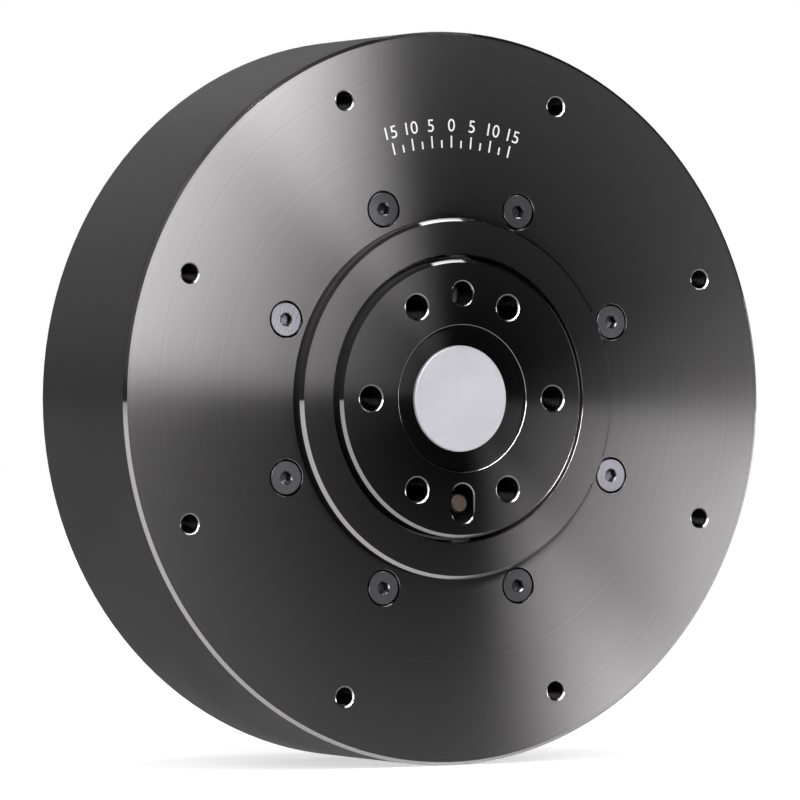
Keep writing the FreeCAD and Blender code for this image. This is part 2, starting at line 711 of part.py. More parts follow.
def main():
    os.makedirs("parts", exist_ok=True)
    save("front_housing", front_housing())
    save("front_screws", front_screws())
    save("ring_gear", ring_gear())
    save("bearing_outer_ring", bearing_outer_ring())
    save("bearing_rollers", bearing_rollers())
    save("bearing_inner_ring", bearing_inner_ring())
    save("output_flange", output_flange())
    save("centre_cap", centre_cap())
    save("carrier_front", carrier_front())
    save("carrier_rear", carrier_rear())
    save("planet_pins", planet_pins())
    save("sun_bearing", sun_bearing())
    for number, angle in enumerate(PLANET_ANGLES, 1):
        save("planet_gear_%d" % number, planet_gear(angle))
    save("sun_gear", sun_gear())
    save("rotor_bell", rotor_bell())
    save("rotor_magnets", rotor_magnets())
    save("encoder_magnet", encoder_magnet())
    save("stator_core", stator_core())
    save("stator_coils", stator_coils())
    save("phase_leads", phase_leads())
    save("rear_housing", rear_housing())
    save("rear_bearing", rear_bearing())
    save("driver_board", driver_board())
    save("board_components", board_components())
    save("encoder_chip", encoder_chip())
    save("power_socket", power_socket())
    save("signal_sockets", signal_sockets())
    save("rear_cover", rear_cover())


main()
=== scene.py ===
import json
import math

import bmesh
import bpy
from bpy.props import FloatProperty, FloatVectorProperty, IntProperty, PointerProperty
from mathutils import Matrix, Vector

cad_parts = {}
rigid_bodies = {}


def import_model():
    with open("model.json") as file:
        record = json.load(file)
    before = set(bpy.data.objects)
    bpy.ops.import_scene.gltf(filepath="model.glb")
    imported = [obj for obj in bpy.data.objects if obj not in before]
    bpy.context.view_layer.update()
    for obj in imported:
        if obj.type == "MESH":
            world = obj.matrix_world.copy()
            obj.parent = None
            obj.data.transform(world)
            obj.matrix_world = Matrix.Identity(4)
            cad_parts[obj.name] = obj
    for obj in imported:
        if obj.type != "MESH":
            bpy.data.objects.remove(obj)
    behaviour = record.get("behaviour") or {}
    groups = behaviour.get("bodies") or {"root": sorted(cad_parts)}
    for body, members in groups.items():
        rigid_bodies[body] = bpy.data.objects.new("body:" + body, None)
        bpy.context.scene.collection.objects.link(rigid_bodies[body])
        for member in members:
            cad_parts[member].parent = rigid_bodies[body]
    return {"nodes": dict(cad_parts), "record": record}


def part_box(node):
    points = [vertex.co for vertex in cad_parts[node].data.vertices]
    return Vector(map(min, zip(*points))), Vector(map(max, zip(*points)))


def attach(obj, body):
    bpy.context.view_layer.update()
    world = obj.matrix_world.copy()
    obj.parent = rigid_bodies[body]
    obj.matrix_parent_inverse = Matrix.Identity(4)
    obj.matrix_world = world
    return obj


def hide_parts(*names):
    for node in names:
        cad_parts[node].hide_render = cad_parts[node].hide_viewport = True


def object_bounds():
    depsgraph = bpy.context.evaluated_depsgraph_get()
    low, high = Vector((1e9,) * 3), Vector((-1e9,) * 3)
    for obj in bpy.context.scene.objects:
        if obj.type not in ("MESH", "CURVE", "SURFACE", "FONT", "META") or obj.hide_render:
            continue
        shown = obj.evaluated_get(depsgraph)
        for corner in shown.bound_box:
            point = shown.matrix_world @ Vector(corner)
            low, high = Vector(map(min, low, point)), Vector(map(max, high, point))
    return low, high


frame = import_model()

bl_info = {
    "name": "Robot joint actuator",
    "version": (1, 0, 0),
    "blender": (4, 5, 0),
    "location": "View3D > Sidebar > Actuator",
    "description": "Builds the visible shells, screws, sockets and finishes of a robot joint actuator",
    "category": "Object",
}

# Every axis of rotation runs along Y. -Y is the front, +Z is up. Angles are in degrees, from +X
# towards +Z, so they grow anticlockwise for someone who faces the front.
MM = 0.001


def mount(name):
    """The record's entry for one of the places where something is fastened."""
    return next(entry for entry in frame["record"]["mounts"] if entry["name"] == name)


def low(node):
    """The corner of a node's box with the lowest x, y and z."""
    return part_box(node)[0]


def high(node):
    """The corner of a node's box with the highest x, y and z."""
    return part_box(node)[1]


# Sizes that the frame gives, in metres
CAD_LOW, CAD_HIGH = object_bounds()
BODY_R = high("front_housing").x
WALL_BACK = high("front_housing").y
COLLAR_FRONT = low("front_housing").y
COLLAR_R = mount("collar_spigot")["dims"]["r_mm"] * MM
MOUNT_CIRCLE = mount("housing_bolts")["dims"]["pcd_mm"] / 2 * MM
MOUNT_COUNT = mount("housing_bolts")["dims"]["count"]
OUTPUT_CIRCLE = mount("output_bolts")["dims"]["pcd_mm"] / 2 * MM
OUTPUT_COUNT = mount("output_bolts")["dims"]["count"]
DOWEL_R = mount("output_dowel")["dims"]["r_mm"] * MM
DOWEL_DEPTH = mount("output_dowel")["dims"]["length_mm"] * MM
FLANGE_R = high("output_flange").x
FLANGE_FRONT = low("output_flange").y
FLANGE_BACK = high("output_flange").y
BEARING_R = high("bearing_outer_ring").x
PLATE = high("bearing_outer_ring").y
JOURNAL_R = high("bearing_inner_ring").x - 1.4 * MM     # the wall of that ring
CAVITY_R = high("rotor_bell").x + 0.4 * MM              # the air round the rotor
CAP_R = high("centre_cap").x
CAP_FRONT = low("centre_cap").y
CAP_BACK = high("centre_cap").y
SCREW_BACK = high("front_screws").y
PILOT_R = high("sun_bearing").x
PILOT_FRONT = low("sun_bearing").y
BODY_BACK = low("rear_cover").y
COVER_R = high("rear_cover").x
COVER_BACK = high("rear_cover").y
BOARD_R = high("driver_board").x
BOARD_FRONT = low("driver_board").y
POWER_LOW, POWER_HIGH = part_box("power_socket")
SIGNAL_LOW, SIGNAL_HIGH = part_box("signal_sockets")

# Sizes of what only this file draws
SIDES = 192                     # of a large turned surface
HOLE_SIDES = 48                 # of a hole and of a screw
SIDE_TURN = 360.0 / HOLE_SIDES  # angle of one of these sides
ARC_STEPS = 5                   # faces round a rounded edge
FIRST_HOLE = 22.5               # angle of the first hole of each ring of eight
SCREW_COUNT = 8                 # round the collar, and again in the rear ring
SUNK_R = 2.7 * MM               # of the sunk screws as the frame has them
SCREW_HEAD_R = 2.2 * MM         # of the bright disc that the photo shows
SCREW_GAP = 0.26 * MM           # dark ring round it
SCREW_KEY = 1.5 * MM            # across the flats of their hexagon sockets
SCREW_SOCKET = 1.1 * MM         # depth of these sockets
SCREW_CLEAR_R = 1.6 * MM        # of the holes for their shanks
CLAMP_CIRCLE = (high("front_screws").x - SUNK_R) / math.cos(math.radians(FIRST_HOLE))
LIP_R = FLANGE_R + 0.7 * MM     # the collar's inner edge, with air round the flange
RECESS_R = 9.8 * MM             # of the recess round the cap
RECESS_FLOOR = CAP_FRONT + 0.4 * MM     # the cap stands up out of it
SLOT_HALF = 1.7 * MM            # half the width of the slot that shows a planet pin
SLOT_REACH = 0.95 * MM          # from its middle to the middle of each round end
LEAD_GAP = 1.0 * MM             # of air beside the leads, in their channel in the wall
CUT_PAST = 1.0 * MM             # how far the cut for the channel runs past the wall
PIN_TIP_R = 1.25 * MM           # of the thin end of the planet pin in the slot
PIN_TIP_DEEP = 0.8 * MM         # below the flange's face
RIM_CHAMFER = 0.46 * MM
RIM_SLOPE = 0.75                # depth over width of that chamfer
COLLAR_CHAMFER = 0.45 * MM
FLANGE_CHAMFER = 0.4 * MM
EDGE = 0.12 * MM                # the small break that every machined edge has
MOUTH_EDGE = 0.05 * MM          # the smaller break at the mouth of a sunk hole
M3_MAJOR, M3_MINOR, M3_PITCH = 1.5 * MM, 1.23 * MM, 0.5 * MM
M4_MAJOR, M4_MINOR, M4_PITCH = 2.0 * MM, 1.65 * MM, 0.7 * MM
M3_DEPTH, M4_DEPTH = 4.4 * MM, 6.5 * MM
COUNTERSINK = 0.58              # depth over width of the chamfer of a tapped hole
COUNTERSINK_WIDE = 0.21 * MM    # width of that chamfer
THREAD_STEPS = 6                # rows of points in one turn of a thread
THREAD_FLANK = 1.25             # how steep the flanks of its groove are
DRILL_POINT = 0.6               # depth over radius of what the tip of a drill leaves
KEY_MOUTH = 0.62                # radius of the round mouth of a hexagon socket, over its key
KEY_MOUTH_DEEP = 0.12 * MM
KEY_END = 0.1                   # depth of the cone at the end of that socket, over its key
SCREW_POINT = 0.3 * MM          # length of the point at the foot of a screw
COVER_WALL = 1.8 * MM
COVER_CHAMFER = 1.2 * MM
POST_CIRCLE = BOARD_R - 4 * MM  # of the posts that the cover's screws go into
COVER_SCREW_TURNS = (45.0, 135.0, 225.0, 315.0)
COVER_HEAD_R = 2.2 * MM         # of the sunk screws of the rear cover
COVER_CLEAR_R = 1.35 * MM       # of the holes for their shanks
COVER_SHANK_R = 1.25 * MM
COVER_SOCKET = 0.9 * MM
RING_CIRCLE = 46.3 * MM         # of the screws of the rear ring, which only this file draws
RING_HEAD_R = 1.75 * MM
RING_HEAD_TALL = 1.0 * MM
RING_SHANK_R = 1.0 * MM
RING_SHANK_LONG = 2.4 * MM
RING_KEY, RING_SOCKET = 1.3 * MM, 0.7 * MM
SOCKET_GAP = 0.2 * MM           # round each socket in its opening
SIGNAL_WIDTH = 6.0 * MM
SIGNAL_TURN = 22.0              # angle between the power socket and each signal socket
NUMBERS_UP = 2.2 * MM           # from the inner end of the marks to the foot of the numbers


def place(out, degrees, y=0.0):
    """A point at a distance from the axis and at an angle."""
    angle = math.radians(degrees)
    return Vector((out * math.cos(angle), y, out * math.sin(angle)))


def every(count, first=0.0):
    """Angles spread evenly round a circle."""
    return [first + 360.0 * index / count for index in range(count)]


def rounded(*corners):
    """A profile of (radius, y) points. A corner given with a third number is rounded by that much."""
    points = []
    for index, corner in enumerate(corners):
        here = Vector(corner[:2])
        if len(corner) == 2:
            points.append(here)
            continue
        before = (Vector(corners[index - 1][:2]) - here).normalized()
        after = (Vector(corners[(index + 1) % len(corners)][:2]) - here).normalized()
        half = before.angle(after) / 2
        back = corner[2] / math.tan(half)
        centre = here + (before + after).normalized() * (corner[2] / math.sin(half))
        start, end = here + before * back - centre, here + after * back - centre
        sweep = start.angle_signed(end)
        for step in range(ARC_STEPS + 1):
            turned = start.copy()
            turned.rotate(Matrix.Rotation(-sweep * step / ARC_STEPS, 2))
            points.append(centre + turned)
    return points


# A mark of painted shade that each point carries: 1 inside a hole, where hardly any light comes
PAINTED_SHADE = "deep"
LIP_PAINTED_SHADE = 0.4                  # just inside the mouth of a tapped hole
START_PAINTED_SHADE = 0.9                # where its thread starts
SLOT_PAINTED_SHADE = 0.6                 # at the foot of the chamfer of the slot
RECESS_PAINTED_SHADE = 0.55              # at the edge of the recess of the cap
KEY_PAINTED_SHADE = 0.6                  # at the foot of the mouth of a hexagon socket
KEY_END_PAINTED_SHADE = 0.3              # in the middle of its end, which catches some light


class Form:
    """The mesh of one piece while it is drawn. Faces are turned outwards when it is finished."""

    def __init__(self):
        self.mesh = bmesh.new()
        # the layer that holds each point's painted shade
        self.deep = self.mesh.verts.layers.float.new(PAINTED_SHADE)

    def loop(self, points):
        return [self.mesh.verts.new(point) for point in points]

    def ring(self, radius, y, centre=Vector(), count=SIDES):
        """A loop round the axis, or round an axis beside it."""
        return self.loop([centre + place(radius, angle, y) for angle in every(count)])

    def join(self, first, second):
        """A band of faces between two loops with as many points."""
        for index in range(len(first)):
            following = (index + 1) % len(first)
            corners = (first[index], first[following], second[following], second[index])
            self.mesh.faces.new(corners)

    def lathe(self, profile, centre=Vector(), count=SIDES):
        """Bands along a profile. Gives the first and the last loop."""
        rings = [self.ring(radius, y, centre, count) for radius, y in profile]
        for first, second in zip(rings, rings[1:]):
            self.join(first, second)
        return rings[0], rings[-1]

    def point(self, loop, tip, deep=None):
        """Closes a loop with a cone. The tip takes the loop's mark of painted shade unless it has its own.
        """
        top = self.mesh.verts.new(tip)
        top[self.deep] = loop[0][self.deep] if deep is None else deep
        for first, second in zip(loop, loop[1:] + loop[:1]):
            self.mesh.faces.new((first, second, top))

    def fill(self, *loops):
        """A flat face with an outline and any number of holes."""
        edges = set()
        for loop in loops:
            for first, second in zip(loop, loop[1:] + loop[:1]):
                ends = (first, second)
                edges.add(self.mesh.edges.get(ends) or self.mesh.edges.new(ends))
        bmesh.ops.triangle_fill(self.mesh, use_beauty=True, use_dissolve=False, edges=list(edges))

    def thread(self, centre, face, major, minor, pitch, depth):
        """A tapped hole with a chamfered mouth, a helical thread and a drill point. Gives its mouth."""
        mouth_r = minor + COUNTERSINK_WIDE
        mouth = self.ring(mouth_r, face, centre, HOLE_SIDES)
        start = face + (mouth_r - minor) * COUNTERSINK
        rows = round((depth - (start - face)) / pitch * THREAD_STEPS)
        # A ring just inside the mouth and the start of the thread carry painted shade, which darkens the
        # chamfer inwards and dims its glints
        lip = self.ring(mouth_r - EDGE / 3, face + COUNTERSINK * EDGE / 3, centre, HOLE_SIDES)
        previous = self.ring(minor, start, centre, HOLE_SIDES)
        self.paint_shade(lip, LIP_PAINTED_SHADE)
        self.paint_shade(previous, START_PAINTED_SHADE)
        self.join(mouth, lip)
        self.join(lip, previous)
        for row in range(rows + 1):
            y = start + row * pitch / THREAD_STEPS
            grown = min(1.0, row / THREAD_STEPS, (rows - row) / THREAD_STEPS)
            points = []
            for angle in every(HOLE_SIDES):
                phase = ((y - start) / pitch - angle / 360.0) % 1.0
                groove = max(0.0, 1.0 - abs(2.0 * phase - 1.0) * THREAD_FLANK)
                radius = minor + (major - minor) * groove * grown
                points.append(centre + place(radius, angle, y))
            current = self.loop(points)
            # painted shade all down the thread
            self.paint_shade(current)
            self.join(previous, current)
            previous = current
        self.point(previous, centre + Vector((0, y + minor * DRILL_POINT, 0)))
        return mouth

    def paint_shade(self, loop, deep=1.0):
        """Marks a loop with painted shade, by how deep inside a hole it lies."""
        for vert in loop:
            vert[self.deep] = deep

    def drilled(self, centre, profile, count=HOLE_SIDES):
        """A hole along a profile, marked with painted shade past its mouth. Gives its mouth and its far
        end.
        """
        known = set(self.mesh.verts)
        mouth, end = self.lathe(profile, centre, count)
        self.paint_shade(set(self.mesh.verts) - known - set(mouth))
        return mouth, end

    def shadow(self, radius, y, deep=1.0, reach=EDGE / 4):
        """Marks painted shade on the rings of a wall near a radius and a depth, where less light comes."""
        near = [
            vert for vert in self.mesh.verts
            if abs(math.hypot(vert.co.x, vert.co.z) - radius) < reach and abs(vert.co.y - y) < reach
        ]
        self.paint_shade(near, deep)

    def piece(self, name):
        """Makes the object, which isn't linked to the scene yet."""
        bmesh.ops.recalc_face_normals(self.mesh, faces=self.mesh.faces)
        data = bpy.data.meshes.new(name)
        self.mesh.to_mesh(data)
        self.mesh.free()
        return bpy.data.objects.new(name, data)

    def less(self, openings, name):
        """Makes the object with openings cut out of it."""
        linked = bpy.context.scene.collection.objects
        piece = self.piece(name)
        cutter = openings.piece("openings")
        linked.link(piece)
        linked.link(cutter)
        boolean = piece.modifiers.new("cut", "BOOLEAN")
        boolean.operation = "DIFFERENCE"
        boolean.solver = "EXACT"
        boolean.object = cutter
        bpy.context.view_layer.update()
        graph = bpy.context.evaluated_depsgraph_get()
        result = bpy.data.meshes.new_from_object(piece.evaluated_get(graph))
        piece.modifiers.remove(boolean)
        piece.data = result
        bpy.data.objects.remove(cutter)
        linked.unlink(piece)
        return piece

    def finish(self, name, body, slot, material, *nodes):
        """Makes the object, gives it its finish and puts it on its body."""
        return carry(self.piece(name), body, slot, material, *nodes)


def carry(piece, body, slot, material, *nodes):
    """Links a finished piece, shades it and puts it on its body in place of the nodes named."""
    bpy.context.scene.collection.objects.link(piece)
    piece.data.shade_smooth()
    piece.data.set_sharp_from_angle(angle=math.radians(20))
    piece.data.materials.clear()
    piece.data.materials.append(material)
    weighted = piece.modifiers.new("even shading", "WEIGHTED_NORMAL")
    weighted.keep_sharp = True
    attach(piece, body)
    if nodes:
        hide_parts(*nodes)
    return piece


def slab(form, low_corner, high_corner, turn=0.0, bevel=0.0):
    """A block between two corners, with its edges broken, turned about the axis."""
    size = high_corner - low_corner
    made = bmesh.ops.create_cube(form.mesh, size=1.0)["verts"]
    bmesh.ops.scale(form.mesh, vec=size, verts=made)
    bmesh.ops.translate(form.mesh, vec=(low_corner + high_corner) / 2, verts=made)
    if bevel:
        edges = list({edge for vert in made for edge in vert.link_edges})
        bevelled = bmesh.ops.bevel(
            form.mesh, geom=edges, offset=bevel, segments=2, affect="EDGES", profile=0.5
        )
        added = {vert for face in bevelled["faces"] for vert in face.verts}
        made = list(added | {vert for vert in made if vert.is_valid})
    spin = Matrix.Rotation(math.radians(-turn), 3, "Y")
    bmesh.ops.rotate(form.mesh, cent=(0, 0, 0), matrix=spin, verts=made)


# Values of the finishes
ACROSS_RINGS = 0.25             # highlights run across the circles: a quarter of a turn
ACROSS_SCREW_RINGS = 0.21       # on the screws, so that the same ones are bright as in the photo
EDGE_ROUGH = 0.08               # of anodised edges, which are smoother than the rest
TRACK_SCALE = 260.0             # cells in a metre of the board's pattern of tracks


class Nodes:
    """A short way to write a tree of shader nodes."""

    def __init__(self, tree):
        self.tree = tree

    def add(self, kind, **settings):
        node = self.tree.nodes.new(kind)
        for name, value in settings.items():
            setattr(node, name, value)
        return node

    def link(self, source, target):
        self.tree.links.new(source, target)

    def feed(self, socket, value):
        """Sets an input to a value, or links the output of a node to it."""
        if isinstance(value, bpy.types.NodeSocket):
            self.link(value, socket)
        else:
            socket.default_value = value

    def math(self, operation, first, second=0.0, third=0.0, clamp=False):
        node = self.add("ShaderNodeMath", operation=operation, use_clamp=clamp)
        for socket, value in zip(node.inputs, (first, second, third)):
            self.feed(socket, value)
        return node.outputs[0]

    def spread(self, value, low_out, high_out, low_in=0.0, high_in=1.0):
        """Maps a value from one range to another."""
        node = self.add("ShaderNodeMapRange")
        for socket, number in zip(node.inputs, (value, low_in, high_in, low_out, high_out)):
            self.feed(socket, number)
        return node.outputs[0]

    def noise(self, vector, scale, detail=2.0, roughness=0.5, dimensions="3D"):
        node = self.add("ShaderNodeTexNoise", noise_dimensions=dimensions)
        self.feed(node.inputs["W" if dimensions == "1D" else "Vector"], vector)
        self.feed(node.inputs["Scale"], scale)
        node.inputs["Detail"].default_value = detail
        node.inputs["Roughness"].default_value = roughness
        return node.outputs["Fac"]

    def mix(self, factor, first, second, kind="RGBA"):
        """Mixes two colours."""
        node = self.add("ShaderNodeMix", data_type=kind)
        for name, value in (("Factor", factor), ("A", first), ("B", second)):
            self.feed(node.inputs[name], value)
        return node.outputs["Result"]

    def mix_value(self, factor, first, second):
        """Mixes two numbers."""
        return self.mix(factor, first, second, "FLOAT")

    def deep(self):
        """The painted shade that the points carry."""
        return self.add("ShaderNodeAttribute", attribute_name=PAINTED_SHADE).outputs["Fac"]

    def feed_all(self, shader, values):
        """Feeds named inputs of a shader, each with a value or with the output of a node."""
        for name, value in values.items():
            self.feed(shader.inputs[name], value)


def new_group(name, inputs, outputs):
    """A node group with named float inputs, given with their defaults, and named float outputs."""
    tree = bpy.data.node_groups.new(name, "ShaderNodeTree")
    for socket, value in inputs.items():
        made = tree.interface.new_socket(name=socket, in_out="INPUT", socket_type="NodeSocketFloat")
        made.default_value = value
    for socket in outputs:
        tree.interface.new_socket(name=socket, in_out="OUTPUT", socket_type="NodeSocketFloat")
    nodes = Nodes(tree)
    return nodes, nodes.add("NodeGroupInput").outputs, nodes.add("NodeGroupOutput").inputs


def object_point(nodes):
    """Where a point lies on its object, in whatever pose the object is."""
    return nodes.add("ShaderNodeTexCoord").outputs["Object"]


def distance_from_axis(nodes):
    """How far a point lies from the axis, and its y."""
    split = nodes.add("ShaderNodeSeparateXYZ")
    nodes.link(object_point(nodes), split.inputs[0])
    across = nodes.math("MULTIPLY", split.outputs["X"], split.outputs["X"])
    square = nodes.math("MULTIPLY_ADD", split.outputs["Z"], split.outputs["Z"], across)
    return nodes.math("SQRT", square), split.outputs["Y"]


# Shader groups that several finishes share


def turned_lines_group():
    """The fine circles that a lathe leaves, round the axis on flat faces and along it on round ones."""
    inputs = {"Spacing": 0.2 * MM, "Irregular": 0.5}
    nodes, given, result = new_group("turned lines", inputs, ("Value", "Height"))
    radius, y = distance_from_axis(nodes)
    travel = nodes.math("ADD", radius, y)
    turns = nodes.math("DIVIDE", travel, given["Spacing"])
    wave = nodes.math("SINE", nodes.math("MULTIPLY", turns, math.tau))
    wave = nodes.spread(wave, 0.0, 1.0, -1.0, 1.0)
    uneven = nodes.noise(turns, 0.7, 3.0, 0.7, "1D")
    nodes.link(uneven, result["Value"])
    nodes.link(nodes.mix_value(given["Irregular"], wave, uneven), result["Height"])
    return nodes.tree


def painted_light_tone_group():
    """Scales the colour of a turned and anodised surface: darker towards the axis and on walls, lighter on
    edges as a painted highlight, and dark in holes as painted shade.
    """
    # Edge is a painted highlight on chamfers, and the hole value is the painted shade inside holes
    inputs = {"Rim": BODY_R, "Fall": 1.4, "Wall": 0.3, "Edge": 4.4, "Painted hole shade": 0.05}
    nodes, given, result = new_group("turned tone with painted light", inputs, ("Value", "Edge"))
    radius = distance_from_axis(nodes)[0]
    flat_tone = nodes.math("POWER", nodes.math("DIVIDE", radius, given["Rim"]), given["Fall"])
    split = nodes.add("ShaderNodeSeparateXYZ")
    nodes.link(nodes.add("ShaderNodeNewGeometry").outputs["Normal"], split.inputs[0])
    facing = nodes.math("ABSOLUTE", split.outputs["Y"])
    sloped = nodes.spread(facing, 0.0, 1.0, 0.15, 0.35)
    flat_face = nodes.spread(facing, 0.0, 1.0, 0.96, 0.995)
    # painted highlight: sloped edges get a much lighter colour
    steep_tone = nodes.mix_value(sloped, given["Wall"], given["Edge"])
    tone = nodes.mix_value(flat_face, steep_tone, flat_tone)
    # painted shade where the points are marked inside a hole
    deep = nodes.deep()
    nodes.link(nodes.mix_value(deep, tone, given["Painted hole shade"]), result["Value"])
    edge = nodes.math("MULTIPLY", sloped, nodes.math("SUBTRACT", 1.0, flat_face))
    nodes.link(nodes.math("MULTIPLY", edge, nodes.math("SUBTRACT", 1.0, deep)), result["Edge"])
    return nodes.tree


def grain_group():
    """A fine grain, as blasting, moulding or grinding leaves it."""
    nodes, given, result = new_group("grain", {"Size": 0.2 * MM, "Softness": 0.5}, ("Value", "Height"))
    scale = nodes.math("DIVIDE", 1.0, given["Size"])
    fine = nodes.noise(object_point(nodes), scale, 2.0, 0.6)
    coarse = nodes.noise(object_point(nodes), nodes.math("MULTIPLY", scale, 0.22), 3.0, 0.6)
    nodes.link(nodes.mix_value(given["Softness"], fine, coarse), result["Value"])
    nodes.link(fine, result["Height"])
    return nodes.tree


def handling_group():
    """Broad faint patches where a surface has been touched or cleaned."""
    nodes, given, result = new_group("handling", {"Size": 14 * MM}, ("Value",))
    scale = nodes.math("DIVIDE", 1.0, given["Size"])
    cloud = nodes.noise(object_point(nodes), scale, 4.0, 0.55)
    nodes.link(nodes.spread(cloud, 0.0, 1.0, 0.35, 0.68), result["Value"])
    return nodes.tree


def sheets_group():
    """Thin sheets stacked along the axis, with a dark line between them."""
    nodes, given, result = new_group("stacked sheets", {"Thickness": 0.35 * MM}, ("Value", "Height"))
    y = distance_from_axis(nodes)[1]
    part = nodes.math("FRACT", nodes.math("DIVIDE", y, given["Thickness"]))
    edge = nodes.math("ABSOLUTE", nodes.math("SUBTRACT", nodes.math("MULTIPLY", part, 2.0), 1.0))
    line = nodes.spread(edge, 1.0, 0.0, 0.7, 1.0)
    nodes.link(line, result["Value"])
    nodes.link(line, result["Height"])
    return nodes.tree


def shader_group(name):
    """Each group is made once, when a finish first asks for it."""
    makers = {
        "turned lines": turned_lines_group,
        "turned tone with painted light": painted_light_tone_group,
        "grain": grain_group,
        "handling": handling_group,
        "stacked sheets": sheets_group,
    }
    return bpy.data.node_groups.get(name) or makers[name]()


def use_group(nodes, name, **values):
    """Puts a shader group into a tree. Gives its outputs."""
    node = nodes.add("ShaderNodeGroup", node_tree=shader_group(name))
    for socket, value in values.items():
        node.inputs[socket].default_value = value
    return node.outputs


def bump(nodes, height, strength, distance):
    """A normal that a height tilts."""
    node = nodes.add("ShaderNodeBump")
    node.inputs["Strength"].default_value = strength
    node.inputs["Distance"].default_value = distance
    nodes.link(height, node.inputs["Height"])
    return node.outputs[0]


def new_finish(name):
    """An empty material. Gives its nodes and its main shader."""
    material = bpy.data.materials.new(name)
    material.use_nodes = True
    nodes = Nodes(material.node_tree)
    shader = material.node_tree.nodes["Principled BSDF"]
    return material, nodes, shader


def shade(colour, factor):
    """A colour made darker or lighter."""
    return tuple(channel * factor for channel in colour[:3]) + (1.0,)


def finish_of(name):
    """Each finish is made once, when a piece first asks for it."""
    return bpy.data.materials.get(name) or FINISHES[name]()


def turned_metal(
    name, colour, rough, uneven, spacing, depth, across=ACROSS_RINGS, anodised=False, anisotropic=None
):
    """Metal that came off a lathe: long highlights across fine circles."""
    material, nodes, shader = new_finish(name)
    lines = use_group(nodes, "turned lines", Spacing=spacing, Irregular=0.6)
    touched = use_group(nodes, "handling", Size=22 * MM)
    grain = use_group(nodes, "grain", Size=0.12 * MM)
    tone = nodes.math("MULTIPLY_ADD", lines["Value"], 0.7, nodes.math("MULTIPLY", grain["Value"], 0.3))
    tint = nodes.mix(tone, shade(colour, 0.82), shade(colour, 1.18))
    roughness = nodes.math("MULTIPLY_ADD", touched["Value"], uneven, rough)
    roughness = nodes.math("MULTIPLY_ADD", lines["Value"], uneven, roughness)
    if anodised:
        # The tone paints highlights on the edges and shade in the holes into the colour
        turned = use_group(nodes, "turned tone with painted light")
        scaled = nodes.add("ShaderNodeVectorMath", operation="SCALE")
        nodes.link(tint, scaled.inputs[0])
        nodes.link(turned["Value"], scaled.inputs["Scale"])
        tint = scaled.outputs[0]
        roughness = nodes.mix_value(turned["Edge"], roughness, EDGE_ROUGH)
    else:
        # Painted shade: the colour goes dark where the points are marked inside a hole
        tint = nodes.mix(nodes.deep(), tint, shade(colour, 0.1))
    if anisotropic is None:
        anisotropic = bpy.context.scene.actuator_metal.anisotropy
    nodes.feed_all(shader, {
        "Base Color": tint,
        "Roughness": roughness,
        "Metallic": 1.0,
        "Anisotropic": anisotropic,
        "Anisotropic Rotation": across,
        "Tangent": nodes.add("ShaderNodeTangent", direction_type="RADIAL", axis="Y").outputs[0],
        "Normal": bump(nodes, lines["Height"], 0.35, depth),
    })
    return material


def housing_finish():
    colour = bpy.context.scene.actuator_metal.housing
    return turned_metal(
        "black anodised housing", colour, 0.31, 0.04, 0.34 * MM, 0.002 * MM, anodised=True
    )


def flange_finish():
    colour = bpy.context.scene.actuator_metal.flange
    return turned_metal(
        "black anodised flange", colour, 0.31, 0.04, 0.28 * MM, 0.002 * MM, anodised=True
    )


def cap_finish():
    """A matt coating that shows hardly any highlight."""
    looks = bpy.context.scene.actuator_metal
    material = moulded("pale satin cap", looks.cap, 0.3, 0.14 * MM, 0.001 * MM)
    material.node_tree.nodes["Principled BSDF"].inputs["Specular IOR Level"].default_value = 0.25
    return material


def blasted_metal(name, colour, rough, metallic=1.0, size=0.14 * MM, depth=0.004 * MM):
    """Metal with an even fine grain and faint patches."""
    material, nodes, shader = new_finish(name)
    grain = use_group(nodes, "grain", Size=size)
    touched = use_group(nodes, "handling", Size=9 * MM)
    uneven = nodes.math("MULTIPLY_ADD", touched["Value"], 0.1, rough - 0.05)
    nodes.feed_all(shader, {
        "Base Color": nodes.mix(grain["Value"], shade(colour, 0.8), shade(colour, 1.2)),
        "Roughness": nodes.math("MULTIPLY_ADD", grain["Value"], 0.08, uneven),
        "Metallic": metallic,
        "Normal": bump(nodes, grain["Height"], 0.5, depth),
    })
    return material


def cover_finish():
    looks = bpy.context.scene.actuator_metal
    return blasted_metal("black anodised cover", shade(looks.housing, 1.1), 0.46)


def screw_finish():
    colour = bpy.context.scene.actuator_metal.screw
    return turned_metal(
        "dark screw steel", colour, 0.24, 0.05, 0.2 * MM, 0.001 * MM, ACROSS_SCREW_RINGS
    )


def gear_finish():
    return blasted_metal("hobbed gear steel", (0.42, 0.42, 0.43), 0.28, size=0.16 * MM)


def pin_finish():
    return blasted_metal("ground pin steel", (0.1, 0.085, 0.075), 0.3, size=0.1 * MM, depth=0.001 * MM)


# Brownish steel end, painted much darker with the shade that falls on it deep in the slot
def shaded_pin_tip_finish():
    return blasted_metal("pin end painted with slot shade", (0.022, 0.0165, 0.0132), 0.5, size=0.3 * MM, depth=0.006 * MM)


# Bearing steel painted nearly black with the shade that falls in the gap round the flange
def shaded_bearing_finish():
    return turned_metal(
        "bearing steel painted dark for shade", (0.05, 0.05, 0.057), 0.24, 0.04, 0.1 * MM, 0.001 * MM, anisotropic=0.5
    )


def carrier_finish():
    return blasted_metal("milled carrier alloy", (0.62, 0.62, 0.63), 0.32, size=0.2 * MM)


def rotor_finish():
    return turned_metal(
        "plated rotor steel", (0.3, 0.3, 0.31), 0.3, 0.05, 0.25 * MM, 0.002 * MM, anisotropic=0.6
    )


def magnet_finish():
    return blasted_metal("nickel magnet", (0.55, 0.54, 0.52), 0.24, size=0.3 * MM, depth=0.002 * MM)


